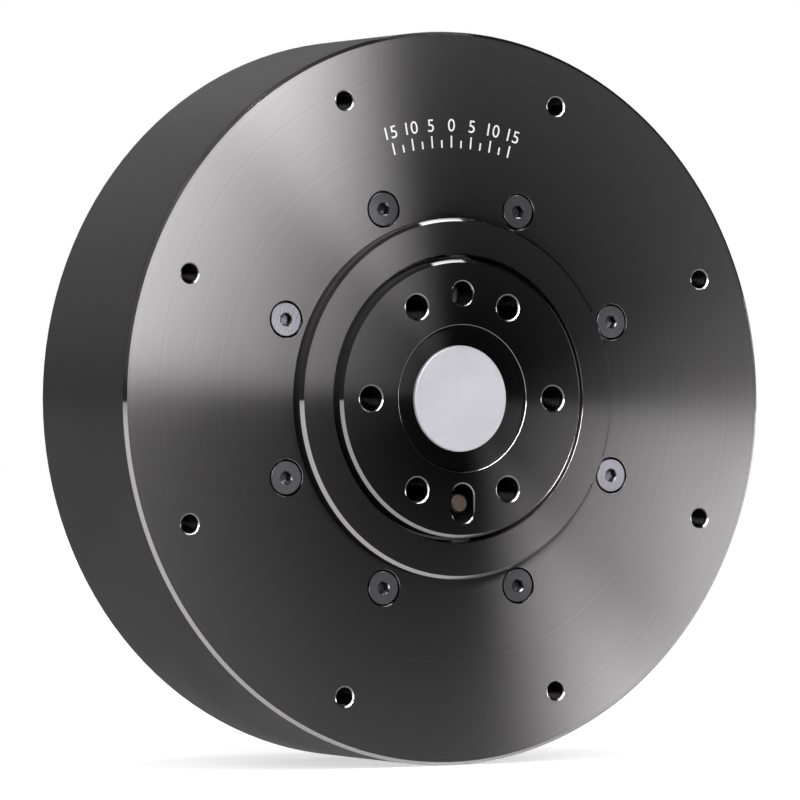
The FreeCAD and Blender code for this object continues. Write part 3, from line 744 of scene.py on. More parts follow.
def contact_finish():
    return blasted_metal("gilt contact", (0.83, 0.6, 0.24), 0.22, size=0.1 * MM, depth=0.001 * MM)


def core_finish():
    """Stacked steel sheets."""
    material, nodes, shader = new_finish("core sheets")
    sheets = use_group(nodes, "stacked sheets", Thickness=0.35 * MM)
    grain = use_group(nodes, "grain", Size=0.3 * MM)
    tone = nodes.math("MULTIPLY", sheets["Value"], nodes.spread(grain["Value"], 0.75, 1.0))
    dark, light = (0.05, 0.05, 0.055, 1.0), (0.3, 0.3, 0.32, 1.0)
    nodes.feed_all(shader, {
        "Base Color": nodes.mix(tone, dark, light),
        "Roughness": nodes.spread(sheets["Value"], 0.7, 0.42),
        "Metallic": 0.9,
        "Normal": bump(nodes, sheets["Height"], 0.7, 0.03 * MM),
    })
    return material


def winding_finish():
    """Enamelled copper wire, wound side by side."""
    material, nodes, shader = new_finish("enamelled winding")
    lines = use_group(nodes, "turned lines", Spacing=0.62 * MM, Irregular=0.05)
    grain = use_group(nodes, "grain", Size=1.2 * MM)
    tone = nodes.math("MULTIPLY", lines["Height"], nodes.spread(grain["Value"], 0.7, 1.0))
    dark, light = (0.17, 0.045, 0.016, 1.0), (0.72, 0.3, 0.12, 1.0)
    nodes.feed_all(shader, {
        "Base Color": nodes.mix(tone, dark, light),
        "Roughness": nodes.spread(grain["Value"], 0.26, 0.4),
        "Metallic": 0.85,
        "Coat Roughness": 0.15,
        "Coat Weight": 0.6,
        "Normal": bump(nodes, lines["Height"], 0.8, 0.16 * MM),
    })
    return material


def moulded(name, colour, rough, size=0.18 * MM, depth=0.006 * MM):
    """Moulded plastic with a fine grain."""
    material, nodes, shader = new_finish(name)
    grain = use_group(nodes, "grain", Size=size)
    touched = use_group(nodes, "handling", Size=5 * MM)
    tone = nodes.math("MULTIPLY_ADD", touched["Value"], 0.5, nodes.math("MULTIPLY", grain["Value"], 0.5))
    nodes.feed_all(shader, {
        "Base Color": nodes.mix(tone, shade(colour, 0.88), shade(colour, 1.08)),
        "Roughness": nodes.math("MULTIPLY_ADD", grain["Value"], 0.16, rough - 0.08),
        "Normal": bump(nodes, grain["Height"], 0.4, depth),
    })
    return material


def lead_finish():
    return blasted_metal("enamelled lead", (0.62, 0.26, 0.1), 0.34, 0.8, 0.4 * MM)


def board_finish():
    """A dark solder mask over copper tracks."""
    material, nodes, shader = new_finish("board mask")
    cells = nodes.add("ShaderNodeTexVoronoi", feature="DISTANCE_TO_EDGE", distance="MANHATTAN")
    nodes.feed_all(cells, {"Scale": TRACK_SCALE, "Vector": object_point(nodes)})
    track = nodes.spread(cells.outputs["Distance"], 1.0, 0.0, 0.03, 0.07)
    grain = use_group(nodes, "grain", Size=0.25 * MM)
    tone = nodes.math("MULTIPLY_ADD", grain["Value"], 0.25, nodes.math("MULTIPLY", track, 0.7))
    dark, light = (0.012, 0.028, 0.02, 1.0), (0.03, 0.085, 0.05, 1.0)
    nodes.feed_all(shader, {
        "Base Color": nodes.mix(tone, dark, light),
        "Roughness": nodes.spread(grain["Value"], 0.3, 0.45),
        "Normal": bump(nodes, track, 0.4, 0.03 * MM),
    })
    return material


def chip_finish():
    return moulded("black chip resin", (0.03, 0.03, 0.032), 0.5, 0.1 * MM)


def power_plug_finish():
    return moulded("yellow nylon", bpy.context.scene.actuator_plastic.power, 0.42)


def signal_plug_finish():
    return moulded("natural nylon", bpy.context.scene.actuator_plastic.signal, 0.45)


def marking_finish():
    return moulded("white marking ink", (0.8, 0.8, 0.8), 0.6, 0.12 * MM, 0.002 * MM)


FINISHES = {
    "black anodised housing": housing_finish,
    "black anodised flange": flange_finish,
    "pale satin cap": cap_finish,
    "black anodised cover": cover_finish,
    "dark screw steel": screw_finish,
    "hobbed gear steel": gear_finish,
    "ground pin steel": pin_finish,
    "pin end painted with slot shade": shaded_pin_tip_finish,
    "bearing steel painted dark for shade": shaded_bearing_finish,
    "milled carrier alloy": carrier_finish,
    "plated rotor steel": rotor_finish,
    "nickel magnet": magnet_finish,
    "gilt contact": contact_finish,
    "core sheets": core_finish,
    "enamelled winding": winding_finish,
    "enamelled lead": lead_finish,
    "board mask": board_finish,
    "black chip resin": chip_finish,
    "yellow nylon": power_plug_finish,
    "natural nylon": signal_plug_finish,
    "white marking ink": marking_finish,
}

# The finish of each node that shows as it is
NODE_FINISH = {
    "ring_gear": "hobbed gear steel",
    "planet_gear_1": "hobbed gear steel",
    "planet_gear_2": "hobbed gear steel",
    "planet_gear_3": "hobbed gear steel",
    "sun_gear": "hobbed gear steel",
    "bearing_outer_ring": "bearing steel painted dark for shade",
    "bearing_rollers": "bearing steel painted dark for shade",
    "bearing_inner_ring": "bearing steel painted dark for shade",
    "sun_bearing": "bearing steel painted dark for shade",
    "rear_bearing": "bearing steel painted dark for shade",
    "carrier_front": "milled carrier alloy",
    "carrier_rear": "milled carrier alloy",
    "planet_pins": "ground pin steel",
    "rotor_bell": "plated rotor steel",
    "rotor_magnets": "nickel magnet",
    "encoder_magnet": "nickel magnet",
    "stator_core": "core sheets",
    "stator_coils": "enamelled winding",
    "phase_leads": "enamelled lead",
    "rear_housing": "black anodised housing",
    "driver_board": "board mask",
    "board_components": "black chip resin",
    "encoder_chip": "black chip resin",
}


def colour_setting(name, description, default):
    """A colour that the sidebar lists."""
    return FloatVectorProperty(
        name=name, description=description, default=default,
        subtype="COLOR", size=3, min=0.0, max=1.0,
    )


def radiance_setting(name, description, default):
    """How bright the face of a lamp is, which the sidebar lists."""
    return FloatProperty(name=name, description=description, default=default, min=0.0, max=100.0)


class MetalLooks(bpy.types.PropertyGroup):
    """Colours of the outer metal pieces"""

    housing: colour_setting("Housing", "Colour of the black anodised housing", (0.06, 0.058, 0.0585))
    flange: colour_setting("Flange", "Colour of the output flange", (0.045, 0.0435, 0.044))
    cap: colour_setting("Cap", "Colour of the centre cap", (0.64, 0.63, 0.68))
    screw: colour_setting("Screws", "Colour of the screws", (0.07, 0.069, 0.077))
    anisotropy: FloatProperty(
        name="Turned highlight", description="How far highlights stretch across the turned circles",
        min=0.0, max=1.0, default=1.0, subtype="FACTOR",
    )


class PlasticLooks(bpy.types.PropertyGroup):
    """Colours of the sockets"""

    power: colour_setting("Power socket", "Colour of the power socket", (0.75, 0.5, 0.06))
    signal: colour_setting("Signal sockets", "Colour of the signal sockets", (0.78, 0.76, 0.7))


class ScaleMarks(bpy.types.PropertyGroup):
    """The printed scale of degrees above the output"""

    radius: FloatProperty(
        name="Radius", description="From the axis to the inner end of the marks",
        unit="LENGTH", min=0.03, max=0.04, default=0.0335,
    )
    step: FloatProperty(
        name="Step", description="Degrees between two marks", min=1.0, max=15.0, default=2.5,
    )
    count: IntProperty(
        name="Marks each side", description="Marks on each side of zero", min=1, max=8, default=6,
    )
    numbers: FloatProperty(
        name="Number height", description="Height of the numbers", unit="LENGTH",
        min=0.001, max=0.004, default=0.0024,
    )


class Studio(bpy.types.PropertyGroup):
    """Strength of the lights"""

    high: radiance_setting("High softbox", "Radiance of the softbox above the front", 64.0)
    low: radiance_setting("Low softbox", "Radiance of the softbox to the left", 79.0)
    spark: radiance_setting("Spark", "Radiance of the small lamp at the right", 30.0)
    strip: radiance_setting("Strip", "Radiance of the small lamp above the right", 5.0)
    fill: FloatProperty(
        name="Fill", description="Power of each fill lamp", unit="POWER", min=0.0, max=100.0, default=3.4,
    )
    floor: FloatProperty(
        name="Floor", description="What the floor adds to reflections", min=0.0, max=10.0, default=0.7,
    )
    room: FloatProperty(
        name="Room", description="How bright the room behind the camera is in reflections",
        min=0.0, max=1.0, default=0.05,
    )


class ACTUATOR_OT_housing(bpy.types.Operator):
    """The front housing, with its collar, its tapped holes and its sunk screw holes"""

    bl_idname = "actuator.housing"
    bl_label = "Front housing"

    def execute(self, context):
        form = Form()
        rim = rounded(
            (BODY_R - RIM_CHAMFER, 0.0),
            (BODY_R, RIM_CHAMFER * RIM_SLOPE, EDGE),
            (BODY_R, WALL_BACK),
            (CAVITY_R, WALL_BACK),
            (CAVITY_R, PLATE),
        )
        face_outer, back_outer = form.lathe(rim)
        collar = rounded(
            (BEARING_R, PLATE),
            (BEARING_R, 0.0),
            (LIP_R, 0.0),
            (LIP_R, COLLAR_FRONT + EDGE / 3),
            (LIP_R + EDGE / 3, COLLAR_FRONT),
            (COLLAR_R - COLLAR_CHAMFER, COLLAR_FRONT),
            (COLLAR_R, COLLAR_FRONT + COLLAR_CHAMFER, EDGE / 2),
            # a ring of its own for the painted shade at the foot of the collar
            (COLLAR_R, -EDGE),
            (COLLAR_R, 0.0),
            (BODY_R, 0.0),
        )[:-1]
        back_inner, face_inner = form.lathe(collar)
        mouths = []
        ends = []
        for angle in every(MOUNT_COUNT, FIRST_HOLE):
            centre = place(MOUNT_CIRCLE, angle)
            mouths.append(form.thread(centre, 0.0, M3_MAJOR, M3_MINOR, M3_PITCH, M3_DEPTH))
        wide = SCREW_HEAD_R + SCREW_GAP
        sunk = (
            (wide + MOUTH_EDGE, 0.0),
            (wide, MOUTH_EDGE),
            (SCREW_CLEAR_R, 2 * MOUTH_EDGE + wide - SCREW_CLEAR_R),
            (SCREW_CLEAR_R, PLATE),
        )
        for angle in every(SCREW_COUNT, FIRST_HOLE):
            mouth, end = form.drilled(place(CLAMP_CIRCLE, angle), sunk)
            mouths.append(mouth)
            ends.append(end)
        form.fill(face_outer, face_inner, *mouths)
        form.fill(back_outer, back_inner, *ends)
        # Painted shade on the collar's inner wall and at its foot
        form.shadow(LIP_R, 0.0)
        form.shadow(COLLAR_R, -EDGE)
        channel = Form()
        leads_low, leads_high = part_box("phase_leads")
        near = Vector((leads_low.x - LEAD_GAP, PLATE, leads_low.z - LEAD_GAP / 2))
        far = Vector((leads_high.x + LEAD_GAP, WALL_BACK + CUT_PAST, CUT_PAST - CAVITY_R))
        slab(channel, near, far)
        shell = form.less(channel, "housing_shell")
        carry(shell, "housing", "housing_black", finish_of("black anodised housing"), "front_housing")
        return {"FINISHED"}


def hexagon_radius(key, degrees):
    """How far the side of a hexagon lies from its middle, at an angle."""
    return key / 2 / math.cos(math.radians((degrees % 60.0) - 30.0))


def socket_screw(form, centre, profile, key, socket, turn, facing=1.0):
    """A screw with a hexagon socket. Its profile starts at the edge of the head's flat."""
    head, foot = form.lathe(profile, centre, HOLE_SIDES)
    face = profile[0][1]
    rim = form.ring(key * KEY_MOUTH, face, centre, HOLE_SIDES)
    form.fill(head, rim)
    walls = []
    for deep in (KEY_MOUTH_DEEP, socket):
        points = [
            centre + place(hexagon_radius(key, angle), angle + turn, face + deep * facing)
            for angle in every(HOLE_SIDES)
        ]
        walls.append(form.loop(points))
    # the rim starts at angle zero and the hexagon at its own turn, so the rim is matched to it
    shift = round(turn / SIDE_TURN) % HOLE_SIDES
    matched = rim[shift:] + rim[:shift]
    form.join(matched, walls[0])
    # Painted shade down the hexagon socket, a little less at the middle of its end
    form.paint_shade(walls[0], KEY_PAINTED_SHADE)
    form.paint_shade(walls[1])
    form.join(walls[0], walls[1])
    end = face + (socket + key * KEY_END) * facing
    form.point(walls[1], centre + Vector((0, end, 0)), KEY_END_PAINTED_SHADE)
    form.point(foot, centre + Vector((0, profile[-1][1] + SCREW_POINT * facing, 0)))


def screw_ring(form, circle, angles, profile, key, socket, sides, facing=1.0):
    """Screws on a circle, each turned by so many sides, so that no two sockets look the same."""
    for index, angle in enumerate(angles):
        turn = sides * SIDE_TURN * index
        socket_screw(form, place(circle, angle), profile, key, socket, turn, facing)


class ACTUATOR_OT_clamp_screws(bpy.types.Operator):
    """The eight sunk socket screws round the collar"""

    bl_idname = "actuator.clamp_screws"
    bl_label = "Sunk screws"

    def execute(self, context):
        form = Form()
        shank = M3_MAJOR - 0.15 * MM
        cone = 0.22 * MM
        profile = rounded(
            (SCREW_HEAD_R - 0.05 * MM, 0.04 * MM),
            (SCREW_HEAD_R, 0.1 * MM),
            (SCREW_HEAD_R, cone),
            (shank, SCREW_HEAD_R - shank + cone),
            (shank, SCREW_BACK - SCREW_POINT),
        )
        angles = every(SCREW_COUNT, FIRST_HOLE)
        screw_ring(form, CLAMP_CIRCLE, angles, profile, SCREW_KEY, SCREW_SOCKET, 9)
        form.finish(
            "clamp_screws", "housing", "screw_steel", finish_of("dark screw steel"), "front_screws"
        )
        return {"FINISHED"}


def slot_outline(grow, y):
    """The outline of the slot below the middle of the flange, grown by a chamfer."""
    points = []
    half = HOLE_SIDES // 2
    for end, first in ((-1, 0.0), (1, 180.0)):
        middle = Vector((0.0, y, -OUTPUT_CIRCLE - end * SLOT_REACH))
        for step in range(half + 1):
            points.append(middle + place(SLOT_HALF + grow, first + 180.0 * step / half))
    return points


class ACTUATOR_OT_flange(bpy.types.Operator):
    """The output flange, with its tapped holes, dowel hole, slot and recess"""

    bl_idname = "actuator.flange"
    bl_label = "Output flange"

    def execute(self, context):
        form = Form()
        outside = rounded(
            (FLANGE_R - FLANGE_CHAMFER, FLANGE_FRONT),
            (FLANGE_R, FLANGE_FRONT + FLANGE_CHAMFER, EDGE / 2),
            (FLANGE_R, 0.0),
            (JOURNAL_R, 0.0),
            (JOURNAL_R, FLANGE_BACK),
        )
        face_outer, back_outer = form.lathe(outside)
        recess = rounded(
            (RECESS_R + 3 * EDGE, FLANGE_FRONT),
            (RECESS_R, FLANGE_FRONT, EDGE),
            (RECESS_R, RECESS_FLOOR),
            (CAP_R, RECESS_FLOOR),
            (CAP_R, CAP_BACK),
        )[1:]
        face_inner, cup = form.lathe(recess)
        form.fill(cup)
        seat, end = form.lathe(((PILOT_R, FLANGE_BACK), (PILOT_R, PILOT_FRONT)))
        form.fill(end)
        mouths = []
        for angle in every(OUTPUT_COUNT):
            centre = place(OUTPUT_CIRCLE, angle)
            mouths.append(form.thread(centre, FLANGE_FRONT, M4_MAJOR, M4_MINOR, M4_PITCH, M4_DEPTH))
        bottom = FLANGE_FRONT + DOWEL_DEPTH
        dowel = (
            (DOWEL_R + 1.5 * EDGE, FLANGE_FRONT),
            (DOWEL_R, FLANGE_FRONT + EDGE),
            (DOWEL_R, bottom),
        )
        mouth, end = form.drilled(place(OUTPUT_CIRCLE, 90), dowel)
        form.point(end, place(OUTPUT_CIRCLE, 90, bottom + DOWEL_R * DRILL_POINT))
        mouths.append(mouth)
        outlines = (
            (1.5 * EDGE, FLANGE_FRONT),
            (0.0, FLANGE_FRONT + EDGE),
            (0.0, FLANGE_FRONT + 3 * EDGE),
            (0.0, FLANGE_BACK),
        )
        loops = [form.loop(slot_outline(grow, y)) for grow, y in outlines]
        # Painted shade down the slot, less on its chamfer
        form.paint_shade(loops[1], SLOT_PAINTED_SHADE)
        form.paint_shade(loops[2] + loops[3])
        for first, second in zip(loops, loops[1:]):
            form.join(first, second)
        mouths.append(loops[0])
        form.fill(face_outer, face_inner, *mouths)
        form.fill(back_outer, seat, loops[-1])
        # Painted shade on the flange's outer wall and on the edge of the recess
        form.shadow(FLANGE_R, 0.0)
        form.shadow(RECESS_R, FLANGE_FRONT + 0.7 * EDGE, RECESS_PAINTED_SHADE, 0.6 * EDGE)
        form.finish(
            "flange_body", "output", "flange_dark", finish_of("black anodised flange"), "output_flange"
        )
        return {"FINISHED"}


class ACTUATOR_OT_pin_tip(bpy.types.Operator):
    """The thin end of the lowest planet pin, which shows in the slot"""

    bl_idname = "actuator.pin_tip"
    bl_label = "Pin tip"

    def execute(self, context):
        front = FLANGE_FRONT + PIN_TIP_DEEP
        back = low("planet_pins").y
        form = Form()
        profile = (
            (PIN_TIP_R - 2 * EDGE, front),
            (PIN_TIP_R, front + 2 * EDGE),
            (PIN_TIP_R, back),
        )
        tip, foot = form.lathe(profile, place(OUTPUT_CIRCLE, 270), HOLE_SIDES)
        form.fill(tip)
        form.fill(foot)
        form.finish("pin_tip", "output", "pin_steel", finish_of("pin end painted with slot shade"))
        return {"FINISHED"}


class ACTUATOR_OT_cap(bpy.types.Operator):
    """The pale cap in the middle of the flange"""

    bl_idname = "actuator.cap"
    bl_label = "Centre cap"

    def execute(self, context):
        form = Form()
        ease = 0.22 * MM
        clear = 0.02 * MM
        edge = rounded(
            (CAP_R - 2 * ease, CAP_FRONT),
            (CAP_R - clear, CAP_FRONT, ease),
            (CAP_R - clear, CAP_BACK - clear),
        )
        face, back = form.lathe(edge)
        form.fill(face)
        form.fill(back)
        form.finish("cap_disc", "output", "cap_grey", finish_of("pale satin cap"), "centre_cap")
        return {"FINISHED"}


class ACTUATOR_OT_cover(bpy.types.Operator):
    """The rear cover, with its openings for the sockets and the sunk holes for its screws"""

    bl_idname = "actuator.cover"
    bl_label = "Rear cover"

    def execute(self, context):
        form = Form()
        floor = COVER_BACK - COVER_WALL
        outside = rounded(
            (COVER_R - COVER_WALL, floor),
            (COVER_R - COVER_WALL, BODY_BACK),
            (COVER_R, BODY_BACK, EDGE),
            (COVER_R, COVER_BACK - COVER_CHAMFER, 2 * EDGE),
            (COVER_R - COVER_CHAMFER, COVER_BACK, 2 * EDGE),
            (0.0, COVER_BACK),
        )[:-1]
        inside, back = form.lathe(outside)
        wide = COVER_HEAD_R + 0.07 * MM
        sunk = (
            (wide + MOUTH_EDGE, COVER_BACK),
            (wide, COVER_BACK - MOUTH_EDGE),
            (COVER_CLEAR_R, COVER_BACK - MOUTH_EDGE - wide + COVER_CLEAR_R),
            (COVER_CLEAR_R, floor),
        )
        mouths = []
        ends = []
        for angle in COVER_SCREW_TURNS:
            mouth, end = form.drilled(place(POST_CIRCLE, angle), sunk)
            mouths.append(mouth)
            ends.append(end)
        form.fill(back, *mouths)
        form.fill(inside, *ends)
        openings = Form()
        inner, outer = COVER_R - 2 * COVER_WALL, COVER_R + COVER_WALL
        for angle, half, low_y, high_y in (
            (0.0, POWER_HIGH.x, POWER_LOW.y, POWER_HIGH.y),
            (SIGNAL_TURN, SIGNAL_WIDTH / 2, SIGNAL_LOW.y, SIGNAL_HIGH.y),
            (-SIGNAL_TURN, SIGNAL_WIDTH / 2, SIGNAL_LOW.y, SIGNAL_HIGH.y),
        ):
            near = Vector((-half - SOCKET_GAP, low_y - SOCKET_GAP, inner))
            far = Vector((half + SOCKET_GAP, high_y + SOCKET_GAP, outer))
            slab(openings, near, far, angle)
        shell = form.less(openings, "cover_shell")
        carry(shell, "housing", "cover_black", finish_of("black anodised cover"), "rear_cover")
        return {"FINISHED"}


class ACTUATOR_OT_rear_screws(bpy.types.Operator):
    """The small screws of the rear ring and of the cover"""

    bl_idname = "actuator.rear_screws"
    bl_label = "Rear screws"

    def execute(self, context):
        back = BODY_BACK + RING_HEAD_TALL
        profile = rounded(
            (RING_HEAD_R * 0.55, back),
            (RING_HEAD_R * 0.9, back - 0.35 * MM, 0.3 * MM),
            (RING_HEAD_R, BODY_BACK + 0.05 * MM),
            (RING_HEAD_R - 0.05 * MM, BODY_BACK - 0.02 * MM),
            (RING_SHANK_R, BODY_BACK - 0.03 * MM),
            (RING_SHANK_R, BODY_BACK - RING_SHANK_LONG),
        )
        form = Form()
        angles = every(SCREW_COUNT, FIRST_HOLE)
        screw_ring(form, RING_CIRCLE, angles, profile, RING_KEY, RING_SOCKET, 7, -1.0)
        form.finish("ring_screws", "housing", "screw_steel", finish_of("dark screw steel"))
        back = COVER_BACK - 0.06 * MM
        cone = back - 0.16 * MM
        profile = (
            (COVER_HEAD_R - 0.12 * MM, back),
            (COVER_HEAD_R, back - 0.08 * MM),
            (COVER_HEAD_R, cone),
            (COVER_SHANK_R, cone - COVER_HEAD_R + COVER_SHANK_R),
            (COVER_SHANK_R, BOARD_FRONT + 1.6 * MM),
        )
        form = Form()
        angles = COVER_SCREW_TURNS
        screw_ring(form, POST_CIRCLE, angles, profile, SCREW_KEY, COVER_SOCKET, 5, -1.0)
        form.finish("cover_screws", "housing", "screw_steel", finish_of("dark screw steel"))
        return {"FINISHED"}


def plug_body(form, outline, holes, top, bottom, turn, ease):
    """A moulded block that opens outwards. Outlines are (x, y) points, holes are (outline, depth)."""
    middle = sum((Vector(point) for point in outline), Vector((0, 0))) / len(outline)
    spin = Matrix.Rotation(math.radians(turn), 3, "Y")

    def level(points, z, inset=0.0):
        """The outline at one height, drawn in by an inset."""
        moved = []
        for point in points:
            away = Vector(point) - middle
            x = away.x - math.copysign(inset, away.x) + middle.x
            y = away.y - math.copysign(inset, away.y) + middle.y
            moved.append(spin @ Vector((x, y, z)))
        return form.loop(moved)

    rings = [
        level(outline, bottom, ease),
        level(outline, bottom + ease),
        level(outline, top - ease),
        level(outline, top, ease),
    ]
    for first, second in zip(rings, rings[1:]):
        form.join(first, second)
    form.fill(rings[0])
    mouths = []
    for hole, depth in holes:
        mouth = form.loop([spin @ Vector((x, y, top)) for x, y in hole])
        floor = form.loop([spin @ Vector((x, y, top - depth)) for x, y in hole])
        form.join(mouth, floor)
        form.fill(floor)
        mouths.append(mouth)
    form.fill(rings[-1], *mouths)


def box_outline(x, y, half_x, half_y, corner=0.0):
    """A rectangle with cut corners, round a middle."""
    points = []
    for side_x, side_y in ((1, 1), (-1, 1), (-1, -1), (1, -1)):
        steps = ((0, 1), (1, 0)) if side_x * side_y > 0 else ((1, 0), (0, 1))
        for along_x, along_y in steps if corner else ((0, 0),):
            points.append((
                x + side_x * (half_x - corner * along_y),
                y + side_y * (half_y - corner * along_x),
            ))
    return points


def round_outline(x, y, radius, count=24):
    """A circle round a middle."""
    turns = [math.radians(angle) for angle in every(count)]
    return [(x + radius * math.cos(turn), y + radius * math.sin(turn)) for turn in turns]


class ACTUATOR_OT_sockets(bpy.types.Operator):
    """The power socket and the two signal sockets in the side of the rear cover"""

    bl_idname = "actuator.sockets"
    bl_label = "Sockets"

    def execute(self, context):
        top = POWER_HIGH.z
        bottom = POWER_LOW.z
        y = (POWER_LOW.y + POWER_HIGH.y) / 2
        form = Form()
        outline = box_outline(0.0, y, POWER_HIGH.x, POWER_HIGH.y - y, 0.9 * MM)
        bore = 1.1 * MM
        depth = 6.0 * MM
        middles = (-2.5 * MM, 2.5 * MM)
        holes = [(round_outline(x, y, bore + 0.15 * MM), depth) for x in middles]
        plug_body(form, outline, holes, top, bottom, 0.0, 0.15 * MM)
        form.finish(
            "power_plug", "housing", "power_plug_yellow", finish_of("yellow nylon"), "power_socket"
        )
        form = Form()
        outer, inner = bore + 0.13 * MM, bore - 0.2 * MM
        sleeve = (
            (outer, top - 5.9 * MM),
            (outer, top - 0.5 * MM),
            (inner, top - 0.4 * MM),
            (inner, top - 5.6 * MM),
        )
        for middle in middles:
            loops = []
            for radius, z in sleeve:
                points = round_outline(middle, y, radius)
                loops.append(form.loop([Vector((px, py, z)) for px, py in points]))
            for first, second in zip(loops, loops[1:]):
                form.join(first, second)
            form.fill(loops[0])
            form.fill(loops[-1])
        form.finish("power_contacts", "housing", "pin_steel", finish_of("gilt contact"))
        self.signal_sockets()
        return {"FINISHED"}

    def signal_sockets(self):
        """The two white sockets and their pins."""
        bodies = Form()
        pins = Form()
        low_y, high_y = SIGNAL_LOW.y, SIGNAL_HIGH.y
        y = (low_y + high_y) / 2
        top = POWER_HIGH.z
        mouth = 1.6 * MM
        depth = 3.5 * MM
        pitch = 1.0 * MM
        half_pin = 0.16 * MM
        for turn in (SIGNAL_TURN, -SIGNAL_TURN):
            outline = box_outline(0.0, y, SIGNAL_WIDTH / 2, high_y - y, 0.25 * MM)
            hole = box_outline(0.0, y, (SIGNAL_WIDTH - mouth) / 2, mouth / 2)
            plug_body(bodies, outline, [(hole, depth)], top, POWER_LOW.z, turn, 0.12 * MM)
            for step in (-1.5, -0.5, 0.5, 1.5):
                x = step * pitch
                near = Vector((x - half_pin, y - half_pin, top - depth - 0.1 * MM))
                far = Vector((x + half_pin, y + half_pin, top - 0.9 * MM))
                slab(pins, near, far, -turn, 0.05 * MM)
        bodies.finish(
            "signal_plugs", "housing", "signal_plug_white", finish_of("natural nylon"), "signal_sockets"
        )
        pins.finish("signal_pins", "housing", "pin_steel", finish_of("gilt contact"))


class ACTUATOR_OT_scale(bpy.types.Operator):
    """A plain printed scale of degrees above the output"""

    bl_idname = "actuator.scale"
    bl_label = "Printed scale"

    def execute(self, context):
        marks = context.scene.actuator_marks
        ink = finish_of("white marking ink")
        thick = 0.02 * MM
        half = 0.11 * MM
        long_mark, short_mark = 1.6 * MM, 1.0 * MM
        form = Form()
        for index in range(-marks.count, marks.count + 1):
            length = short_mark if index % 2 else long_mark
            near = Vector((-half, -thick, marks.radius))
            far = Vector((half, thick / 2, marks.radius + length))
            slab(form, near, far, -index * marks.step)
        form.finish("scale_ticks", "housing", "housing_black", ink)
        joined = bmesh.new()
        for index in range(-marks.count, marks.count + 1):
            if index % 2:
                continue
            angle = index * marks.step
            text = bpy.data.curves.new("number", "FONT")
            text.body = f"{abs(angle):g}"
            text.size = marks.numbers
            text.align_x = "CENTER"
            text.extrude = thick / 2
            holder = bpy.data.objects.new("number", text)
            context.scene.collection.objects.link(holder)
            context.view_layer.update()
            graph = context.evaluated_depsgraph_get()
            mesh = bpy.data.meshes.new_from_object(holder.evaluated_get(graph))
            upright = Matrix.Rotation(math.radians(90), 4, "X")
            up = Matrix.Translation((0, -thick / 2, marks.radius + NUMBERS_UP))
            mesh.transform(Matrix.Rotation(math.radians(angle), 4, "Y") @ up @ upright)
            bpy.data.objects.remove(holder)
            joined.from_mesh(mesh)
        data = bpy.data.meshes.new("scale_numbers")
        joined.to_mesh(data)
        joined.free()
        numbers = bpy.data.objects.new("scale_numbers", data)
        carry(numbers, "housing", "housing_black", ink)
        return {"FINISHED"}


class ACTUATOR_OT_inner_pieces(bpy.types.Operator):
    """Gives each inner piece its finish"""

    bl_idname = "actuator.inner_pieces"
    bl_label = "Inner pieces"

    def execute(self, context):
        for name, finish in NODE_FINISH.items():
            node = frame["nodes"][name]
            node.data.materials.clear()
            node.data.materials.append(finish_of(finish))
        return {"FINISHED"}


# The photo was taken from the left, level with the axis, with a long lens
CAMERA_TURN = math.radians(29.82)       # to the left of the front
CAMERA_DISTANCE = 738.7 * MM
CAMERA_ASIDE = -6.865 * MM
CAMERA_HEIGHT = -0.188 * MM
CAMERA_LENS = 248.9
CAMERA_SENSOR = 36.0

# Lamps that show in shiny surfaces only, one metre from the middle: how far each stands to the left
# of the front and above the axis in degrees, its width and height in metres, and its roll
SOFTBOXES = (
    ("high", -6.8, 36.7, 0.35, 0.52, 66.0),
    ("low", 14.4, 18.4, 0.36, 0.58, -10.0),
    ("strip", -81.9, 66.3, 0.15, 0.3, 27.0),
    ("spark", -90.0, 3.0, 0.3, 0.2, 0.0),
)
# Lamps that don't show in shiny surfaces: where each stands and how wide it is, in metres
FILLS = (
    ("left_fill", (-0.9, -0.7, 0.9), 0.7),
    ("top_fill", (0.1, 0.1, 1.3), 0.9),
    ("right_fill", (0.9, -0.9, 0.6), 0.7),
)
ROOM_LIGHT = 0.44               # what the surroundings give to matt surfaces
FLOOR_SHINE = 0.62              # what lifts the floor to nearly white for the camera
FLOOR_REACH = 3.0               # how far the floor goes each way, in metres
FLOOR_GAP = 0.05 * MM           # between the floor and the lowest point


